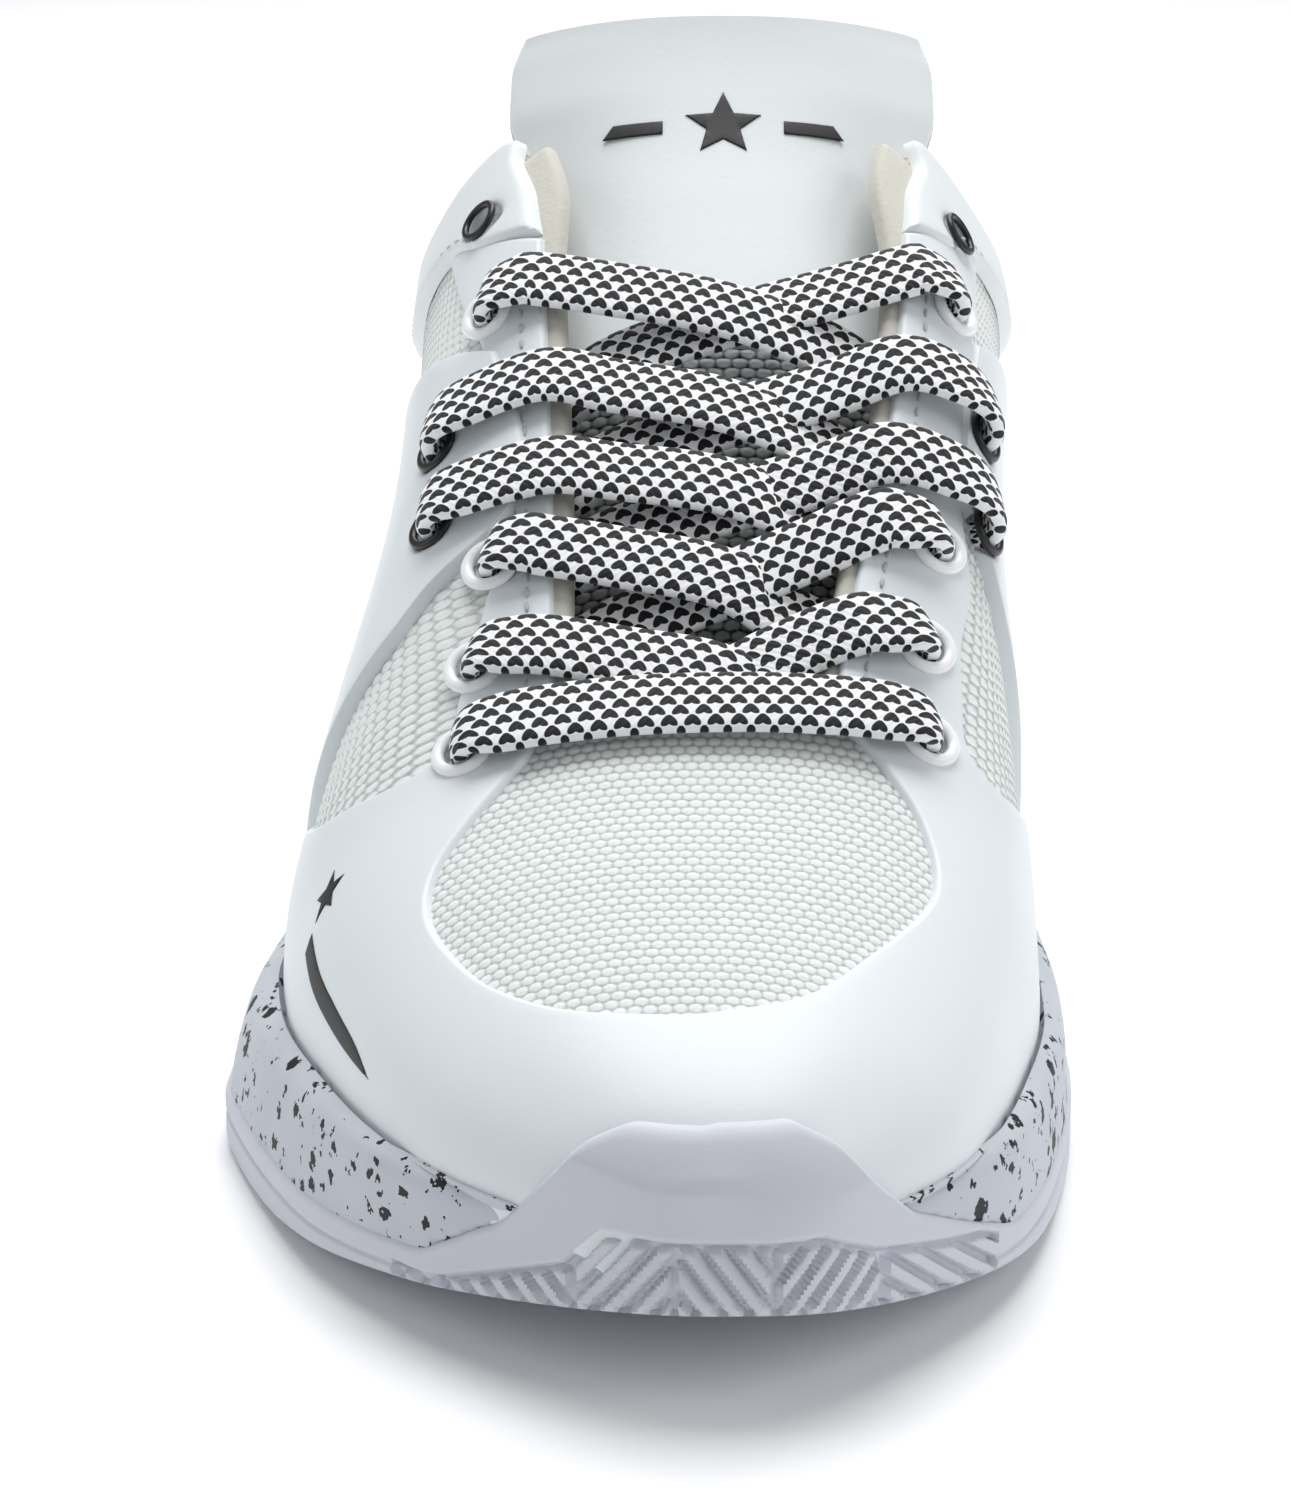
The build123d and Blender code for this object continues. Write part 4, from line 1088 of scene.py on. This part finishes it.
def wall_frame(x, s, side, height):
    q = s if side < 0 else Q_END - s
    z = row_height(x, s)
    p = wall(np.array([q]), np.array([z]), np.array([height]))[0]
    n = wall(np.array([q]), np.array([z]), np.array([height + 1]))[0] - p
    return p, np.array([0.0, 1.0, 0.8]), n


for side, place, node in ((-1, TOP_EYELETS[0], "top_eyelet_lateral"), (1, TOP_EYELETS[1], "top_eyelet_medial")):
    rings = placed_copy(node + "_ring", ring_source(3.3, 2.2), [wall_frame(*place, side, 1.0)])
    finish_piece(rings, black_plastic, replaces=(node,), smooth=60)

# ---- lace: one flat braided length through twelve eyelets, its ends tucked in
def lace_points(run, axis):
    """Rows of place, width axis, width and thickness."""
    return [np.concatenate([place, axis, [width, thick]]) for place, width, thick in run]


def hole(x, s):
    u, a = from_plan(x, s)
    return strip(u, a, np.array(0.0)), strip_normal(u, a)


def above(x, s, height):
    place, normal = hole(x, s)
    return place + normal * height


def width_axis(start, end, normal):
    across = np.cross(normal, end - start)
    across /= np.linalg.norm(across)
    return across if across[1] > 0 else -across


EDGE_X = {-1: [-12.8, -12.8, -12.9, -13.0, -13.6, -14.4], 1: [24.0, 25.5, 28.5, 30.6, 32.6, 34.2]}
ROWS_OF = {-1: LATERAL_EYELETS, 1: MEDIAL_EYELETS}


def lace_run(side, row):
    """From an eyelet over the tongue to the underside of the next row on the other side."""
    x, s = ROWS_OF[side][row]
    nx, ns = ROWS_OF[-side][row - 1]
    lift = 1.0 if row in (3, 4) else 0.0
    drop = 1.0 if row - 1 in (3, 4) else 0.0
    place, normal = hole(x, s)
    far, far_normal = hole(nx, ns)
    start, end = above(x, s, 2.5), above(EDGE_X[-side][row - 1], ns, -6.5)
    axis = width_axis(start, end, normal + far_normal)
    inward = -side
    mid_s = (s + ns) / 2
    edge, far_edge = EDGE_X[side][row], EDGE_X[-side][row - 1]
    cross = -1.2 if side < 0 else -3.9
    run = [
        (place - normal * 3.0, 4.0, 2.8), (place + normal * (0.6 + lift), 4.2, 2.8),
        (above(x + inward * 1.7, s - 0.1, 2.7 + lift), 7.2, 2.4),
        (above(x + inward * 5.0, s - 0.4, 2.3 + lift), 9.0, 2.2),
        (above(edge, s - 1.0, 1.4 + 0.4 * lift), 9.4, 2.2),
        (above(edge + inward * 9, s * 0.72 + ns * 0.28, -0.4 if side < 0 else -1.9), 9.4, 2.2),
        (above(10 + (edge + far_edge - 20) * 0.2, mid_s, cross), 9.4, 2.2),
        (above(far_edge + side * 9, s * 0.26 + ns * 0.74, -4.3 if side < 0 else -5.4), 9.4, 2.2),
        (above(far_edge, ns + 0.6, -6.4), 9.4, 2.2),
        (above(nx + side * 4.5, ns + 0.2, -7.0), 7.2, 2.2),
        (far - far_normal * (7.4 + 0.3 * drop), 5.0, 2.5),
    ]
    return lace_points(run, axis)


def lace_strand(first):
    """From a top eyelet down to the toe row, changing side at every row."""
    rows = []
    side = first
    for row in range(5, 0, -1):
        rows += lace_run(side, row)
        side = -side
    return rows


def lace_object():
    strand_a, strand_b = lace_strand(-1), lace_strand(1)
    lateral, lateral_normal = hole(*LATERAL_EYELETS[0])
    medial, medial_normal = hole(*MEDIAL_EYELETS[0])
    straight_axis = width_axis(lateral, medial, lateral_normal + medial_normal)
    lateral_x, medial_x = LATERAL_EYELETS[0][0], MEDIAL_EYELETS[0][0]
    bar = [
        (medial - medial_normal * 3, 4.0, 2.8), (medial + medial_normal * 0.6, 4.2, 2.8),
        (above(medial_x - 1.7, 77.4, 2.8), 7.2, 2.4), (above(medial_x - 5.5, 77.2, 2.5), 9.2, 2.2),
        (above(EDGE_X[1][0], 76.8, 2.0), 9.4, 2.2), (above(15, 76.4, 1.6), 9.4, 2.2),
        (above(5.5, 76.2, 1.5), 9.4, 2.2), (above(-4, 76.0, 1.6), 9.4, 2.2),
        (above(EDGE_X[-1][0], 76.0, 2.0), 9.4, 2.2),
        (above(lateral_x + 5.5, 76, 2.5), 9.2, 2.2), (above(lateral_x + 1.7, 76, 2.8), 7.2, 2.4),
        (lateral + lateral_normal * 0.6, 4.2, 2.8), (lateral - lateral_normal * 3, 4.0, 2.8),
    ]
    bar = lace_points(bar, straight_axis)

    def tail(strand, low):
        ends = [(low + (0, -3, 0), 4.2, 3.0), (low + (0, -2, 9), 6.0, 2.4), (low + (0, 0, 17), 7.0, 2.2)]
        return lace_points(ends, strand[0][3:6])
    low_a, low_b = np.array([-24.5, 142.0, 66.0]), np.array([39.0, 142.0, 66.0])
    route = np.array(tail(strand_a, low_a) + strand_a + bar + strand_b[::-1] + tail(strand_b, low_b)[::-1])
    line = curve(route, 0.55, closed=False)
    centre = line[:, :3]
    run = np.concatenate([[0], np.cumsum(np.linalg.norm(np.diff(centre, axis=0), axis=1))])
    tangent = np.gradient(centre, run, axis=0)
    tangent /= np.linalg.norm(tangent, axis=1, keepdims=True)
    across = line[:, 3:6] - tangent * (line[:, 3:6] * tangent).sum(1, keepdims=True)
    across /= np.linalg.norm(across, axis=1, keepdims=True)
    up = np.cross(tangent, across)
    width, thick = line[:, 6], line[:, 7]
    turn = np.linspace(0, 2 * math.pi, 28, endpoint=False)
    cx = np.sign(np.cos(turn)) * np.abs(np.cos(turn)) ** 0.75
    cy = np.sign(np.sin(turn)) * np.abs(np.sin(turn)) ** 0.6
    points = (centre[:, None] + across[:, None] * (width / 2)[:, None, None] * cx[None, :, None]
              + up[:, None] * (thick / 2)[:, None, None] * cy[None, :, None])
    uv = np.stack(np.broadcast_arrays(cx[None, :] * LACE_WIDTH / 2 + 40.0, run[:, None]), -1)
    obj = grid_sheet("lace", points, closed_rows=True, uv=uv, caps=True)
    outward(obj)
    return obj, (low_a, low_b)


lace, tail_places = lace_object()
finish_piece(lace, lace_cloth, replaces=("lace",), smooth=60)


def lace_tip_source():
    bpy.ops.object.select_all(action="DESELECT")
    bpy.ops.mesh.primitive_cylinder_add(vertices=24, radius=1.75 * MM, depth=20 * MM)
    tip = bpy.context.object
    modifier(tip, "BEVEL", width=0.5 * MM, segments=2)
    return tip


tip_frames = [(place + (0, -2.6, 6.0), np.array([1.0, 0, 0]), (0, 0.1, 1.0)) for place in tail_places]
tips = placed_copy("lace_tips", lace_tip_source(), tip_frames)
finish_piece(tips, white_plastic, replaces=("lace_tips",), smooth=60)

# ---- sole: a moulded rubber cup, and the foam wall above it
# Distance behind the toe where the ribs and the bumper end
RIBS_END, BUMPER_END = 42.0, 46.0
# Outline in plan and the upper edge of the toe bumper seen from in front
SOLE_OUTLINE = [(8, 0), (-4, 3.2), (-19.5, 13.8), (-29.5, 23), (-42, 41), (-52.4, 69), (-54.2, 84), (-50, 118),
                (-39, 160), (-33.5, 195), (-31.5, 230), (-20, 260), (8, 272), (36, 260), (47, 230),
                (48, 195), (47.5, 160), (50.5, 122), (54.2, 90), (50.8, 58), (41.7, 28.7), (22, 4.7)]
BUMPER_TOP = [(-48, 2), (-34, 6), (-17, 18.5), (-8.2, 30.2), (-3, 32.4), (16, 32.6), (21, 30.2), (29.5, 19.5),
              (48, 6), (60, 2)]


def even_outline():
    """Points along the outline, closer together at the ribbed toe."""
    fine = curve(SOLE_OUTLINE, 0.25)
    spacing = np.where(fine[:, 1] < RIBS_END, 0.4, 1.3)
    step = np.linalg.norm(np.roll(fine, -1, axis=0) - fine, axis=1)
    count = np.concatenate([[0], np.cumsum(step / spacing)])
    want = np.linspace(0, count[-1], int(count[-1]), endpoint=False)
    closed = np.vstack([fine, fine[:1]])
    return np.stack([np.interp(want, count, closed[:, k]) for k in (0, 1)], -1)


outline = even_outline()
outline_step = np.roll(outline, -2, axis=0) - np.roll(outline, 2, axis=0)
outline_normal = np.stack([outline_step[:, 1], -outline_step[:, 0]], -1)
outline_normal /= np.linalg.norm(outline_normal, axis=1, keepdims=True)
if (outline_normal * (outline - (5, 136))).sum() < 0:
    outline_normal = -outline_normal

feather_line = np.array(
    [(float(last_fields[0](s)), s) for s in np.linspace(HEEL_START, 3, 400)]
    + [(float(last_fields[1](s)), s) for s in np.linspace(3, HEEL_START, 400)]
    + [tuple(wall(np.array([q]), np.array([30.0]))[0][:2])
       for q in np.linspace(Q_END - HEEL_START, HEEL_START, 160)])
reach_in = np.array([np.linalg.norm(feather_line - p, axis=1).min() for p in outline])


BUMPER_THICK = 2.4
TIP_COLUMNS = outline[:, 1] < BUMPER_END
depth_steps = np.linspace(0, 26, 260)
levels = np.linspace(0, 34, 140)
bumper_in = np.zeros((len(outline), len(levels)))
for k in np.nonzero(TIP_COLUMNS)[0]:
    p, n = outline[k], outline_normal[k]
    h = skin_height(p[0] - n[0] * depth_steps, p[1] - n[1] * depth_steps)
    first = int(np.argmax(h > 0))
    h = np.maximum.accumulate(h)
    edge_z = np.concatenate([np.linspace(0, h[first], 40), h[first:]])
    edge_t = np.concatenate([np.full(40, depth_steps[first]), depth_steps[first:]])
    dt, dz = np.gradient(edge_t), np.gradient(edge_z)
    size = np.hypot(dt, dz) + 1e-9
    out_t, out_z = edge_t - BUMPER_THICK * dz / size, edge_z + BUMPER_THICK * dt / size
    order = np.argsort(out_z)
    bumper_in[k] = np.interp(levels, out_z[order], np.maximum.accumulate(np.maximum(0.0, out_t[order])))
kernel = np.hanning(31)
kernel /= kernel.sum()
for k in range(len(levels)):
    ring_in = bumper_in[:, k]
    bumper_in[:, k] = np.convolve(np.concatenate([ring_in[-15:], ring_in, ring_in[:15]]), kernel, "valid")


def sole_in(k, z):
    """How far inwards from the outline the outside of the sole stands at a height."""
    blend = np.clip((z - 14.0) / 8.0, 0, 1)
    return np.interp(z, levels, bumper_in[k]) * blend * blend * (3 - 2 * blend)


BUMPER_XS, BUMPER_ZS = zip(*BUMPER_TOP)


def sole_top(k):
    rim = float(rim_top(outline[k, 1]))
    if not TIP_COLUMNS[k]:
        return rim
    zs = np.linspace(6, 33, 109)
    x = outline[k, 0] - outline_normal[k, 0] * np.array([sole_in(k, z) for z in zs])
    over = zs > np.interp(x, BUMPER_XS, BUMPER_ZS)
    return max(rim, float(zs[np.argmax(over)]) if over.any() else 32.5)


tops = np.array([sole_top(k) for k in range(len(outline))])
short_kernel = np.hanning(13) / np.hanning(13).sum()
tops = np.convolve(np.concatenate([tops[-6:], tops, tops[:6]]), short_kernel, "valid")


def fan_ribs(x, z):
    """Depth of the grooves between the moulded ribs at the toe."""
    crest = np.interp(x, [-26, -10, -6, 19, 25, 38, 43], [8.0, 15.5, 20.5, 20.5, 17.0, 12.0, 8.0])
    # Each fan: its two ends in x, the lean of its ribs and their pitch
    fans = ((-40, -9.0, 0.9, 3.4), (-9.0, 2.3, -0.75, 3.0), (2.3, 13.5, 0.75, 3.0), (13.5, 26.0, -0.75, 3.0),
            (26.0, 46, 0.9, 2.8))
    deep = np.zeros_like(x)
    for low, high, lean, pitch in fans:
        there = (x >= low) & (x < high)
        phase = (x - low + lean * (z - 4.0)) / pitch
        wave = np.abs(phase - np.floor(phase) - 0.5) * 2
        edge = np.minimum(x - low, high - x)
        groove = np.clip((wave - 0.52) / 0.16, 0, 1)
        groove = np.maximum(groove, np.clip(1.4 - edge / 0.5, 0, 1))
        deep = np.where(there, groove, deep)
    below = np.clip((crest - z) / 0.5, 0, 1)
    line = np.exp(-(((z - crest) / 0.45) ** 2)) * 0.9
    return 1.15 * np.maximum(deep * below, line) * (x > -30) * (x < 40)


def outsole_piece():
    rows = []
    for k, (p, n) in enumerate(zip(outline, outline_normal)):
        low, top = float(ground(p[1])), tops[k]
        tip = p[1] < RIBS_END
        profile = [(low, 9.0), (low, 4.0), (low, 2.2)]
        for angle in (0.15, 0.35, 0.6, 0.85, 1.0):
            turn = angle * math.pi / 2
            profile.append((low + 1.6 * (1 - math.cos(turn)), 1.6 * (1 - math.sin(turn))))
        for share in np.linspace(0.03, 1, 66):
            profile.append((low + 1.6 + (top - 0.9 - low - 1.6) * share, 0.0))
        for angle in (0.3, 0.6, 0.8, 1.0):
            turn = angle * math.pi / 2
            profile.append((top - 0.9 + 0.9 * math.sin(turn), 0.9 * (1 - math.cos(turn))))
        profile += [(top - 0.1, 2.2), (top - 2.0, 2.8)]
        profile = np.array(profile)
        lean = np.array([sole_in(k, z) for z in profile[:, 0]]) if TIP_COLUMNS[k] else 0
        inwards = profile[:, 1] + lean
        if tip:
            x = p[0] - n[0] * inwards
            inwards = inwards + fan_ribs(x, profile[:, 0]) * (profile[:, 1] < 0.5) * (p[1] < 40)
        # a shallow line runs round the rim
        line_z = float(rim_top(p[1])) - 3.0
        if top < line_z + 4.5:
            inwards = inwards + 0.35 * np.exp(-(((profile[:, 0] - line_z) / 0.4) ** 2))
        rows.append(np.stack([p[0] - n[0] * inwards, p[1] - n[1] * inwards, profile[:, 0]], -1))
    obj = grid_sheet("outsole_wall", np.array(rows + rows[:1]))
    outward(obj, merge=0.001)
    return obj


def zigzag(x, s):
    """Height of the tread under the sole: ribs that run across in a zigzag."""
    wave = np.abs(np.mod(x / 20.0, 1.0) - 0.5) * 20.0
    phase = np.mod((s + wave * 0.5) / 8.0, 1.0)
    rib = np.clip((np.abs(phase - 0.5) - 0.39) / 0.04, 0, 1)
    zone = ((s > 62) & (s < 124)) | ((s > 196) & (s < 244))
    return -1.5 * rib * zone


def tread_piece():
    loop = (outline - outline_normal * 4.0)[::2]
    return panel("outsole_tread", lambda x, s, h: np.stack([x, s, ground(s) - h], -1), [loop],
                 1.1, 0.0, 0.6, 0.0, 1.6, swell=zigzag)


wall_piece = outsole_piece()
tread = tread_piece()
only(wall_piece)
tread.select_set(True)
bpy.ops.object.join()
outsole = bpy.context.object
outsole.name = "outsole"
finish_piece(outsole, rubber, replaces=("outsole",), smooth=50)


def midsole_piece():
    rows = []
    for k, (p, n) in enumerate(zip(outline, outline_normal)):
        low, high = float(rim_top(p[1])) - 1.5, float(feather(p[1])) + 0.6
        inner = reach_in[k]
        row = []
        for w in np.concatenate([np.linspace(0, 0.7, 8), np.linspace(0.75, 1.0, 10)]):
            slope = max(0.0, inner - 3.2) * (0.45 * w + 0.55 * w**3)
            row.append((low + (high + 1.0 - low) * w, 0.5 + slope + 2.1 * w**14))
        row += [(high + 0.7, inner - 0.6), (high - 0.2, inner - 0.2), (high - 1.6, inner + 0.4),
                (high - 4.0, inner + 4.0)]
        row = np.array(row)
        if p[1] < BUMPER_END and tops[k] > rim_top(p[1]) + 0.7:
            # The foam stands back behind the bumper
            row[:, 1] += 2.6 * np.clip((tops[k] - row[:, 0]) / 2.0, 0, 1) * np.clip((BUMPER_END - p[1]) / 4, 0, 1)
        rows.append(np.stack([p[0] - n[0] * row[:, 1], p[1] - n[1] * row[:, 1], row[:, 0]], -1))
    points = np.array(rows + rows[:1])
    obj = grid_sheet("midsole", points)
    outward(obj, merge=0.001)
    return obj


midsole = midsole_piece()
finish_piece(midsole, foam_speckled, replaces=("midsole",), smooth=60)

# ---- footbed: board, foam and cloth
def footbed_loop(amount):
    """The edge of the footbed, moved inwards."""
    loop = feather_line[::6]
    step = np.roll(loop, -1, axis=0) - np.roll(loop, 1, axis=0)
    side = np.stack([step[:, 1], -step[:, 0]], -1)
    side /= np.maximum(1e-9, np.linalg.norm(side, axis=1, keepdims=True))
    moved = loop + side * amount
    if not inside(moved, [loop]).mean() > 0.5:
        moved = loop - side * amount
    away = edge_distance(moved, [loop])
    moved = moved[(away > amount - 0.3) & inside(moved, [loop])]
    return curve(moved, 1.5)


for name, amount, height, thick, mat, slot, body in (
        ("lasting_board", 4.0, 1.5, 1.5, board, "board_fibre", "shoe"),
        ("sockliner_foam", 8.0, 5.9, 4.0, sock_foam, "sock_foam", "sockliner"),
        ("sockliner_cloth", 8.2, 6.7, 0.8, sock_cloth, "sock_cloth", "sockliner")):
    piece = panel(name, plan_sheet, [footbed_loop(amount)], 3.0, height, 1.0, 0.3, thick)
    finish_piece(piece, mat, body, replaces=(name,))

# ---- stitching along the edges of the throat and the collar
def stitch_source(length):
    bpy.ops.object.select_all(action="DESELECT")
    bpy.ops.mesh.primitive_uv_sphere_add(segments=8, ring_count=5, radius=0.5 * MM)
    obj = bpy.context.object
    bpy.ops.object.mode_set(mode="EDIT")
    bpy.ops.mesh.select_all(action="SELECT")
    bpy.ops.transform.resize(value=(length, 0.62, 0.5))
    bpy.ops.object.mode_set(mode="OBJECT")
    return obj


def stitches(name, path, place, height, pitch=2.5):
    line = curve(path, pitch, closed=False)
    frames = []
    for a, b in zip(line, line[1:]):
        mid = (a + b) / 2
        p = place(np.array([mid[0]]), np.array([mid[1]]), np.array([height]))[0]
        q = place(np.array([mid[0]]), np.array([mid[1]]), np.array([height + 1]))[0]
        ends = [place(np.array([e[0]]), np.array([e[1]]), np.array([height]))[0] for e in (a, b)]
        frames.append((p, ends[1] - ends[0], q - p))
    obj = placed_copy(name, stitch_source(1.75), frames)
    return finish_piece(obj, thread, smooth=60)


for side, word, throat in ((-1, "lateral", throat_lateral), (1, "medial", throat_medial)):
    start = window_lateral[:1] if side < 0 else window_medial[-1:]
    edge_line = [(x + side * 3.2, s) for x, s in start + throat]
    stitches(word + "_throat_stitches", plan_path(edge_line), strip, 0.12)
    seam_line = [at(s, z + 2.2, side) for s, z in ((154, 99.5), (158, 98.0), (166, 91.5), (178, 82), (196, 75),
                                                   (220, 72.5))]
    stitches(word + "_collar_stitches", seam_line, wall, 0.75)
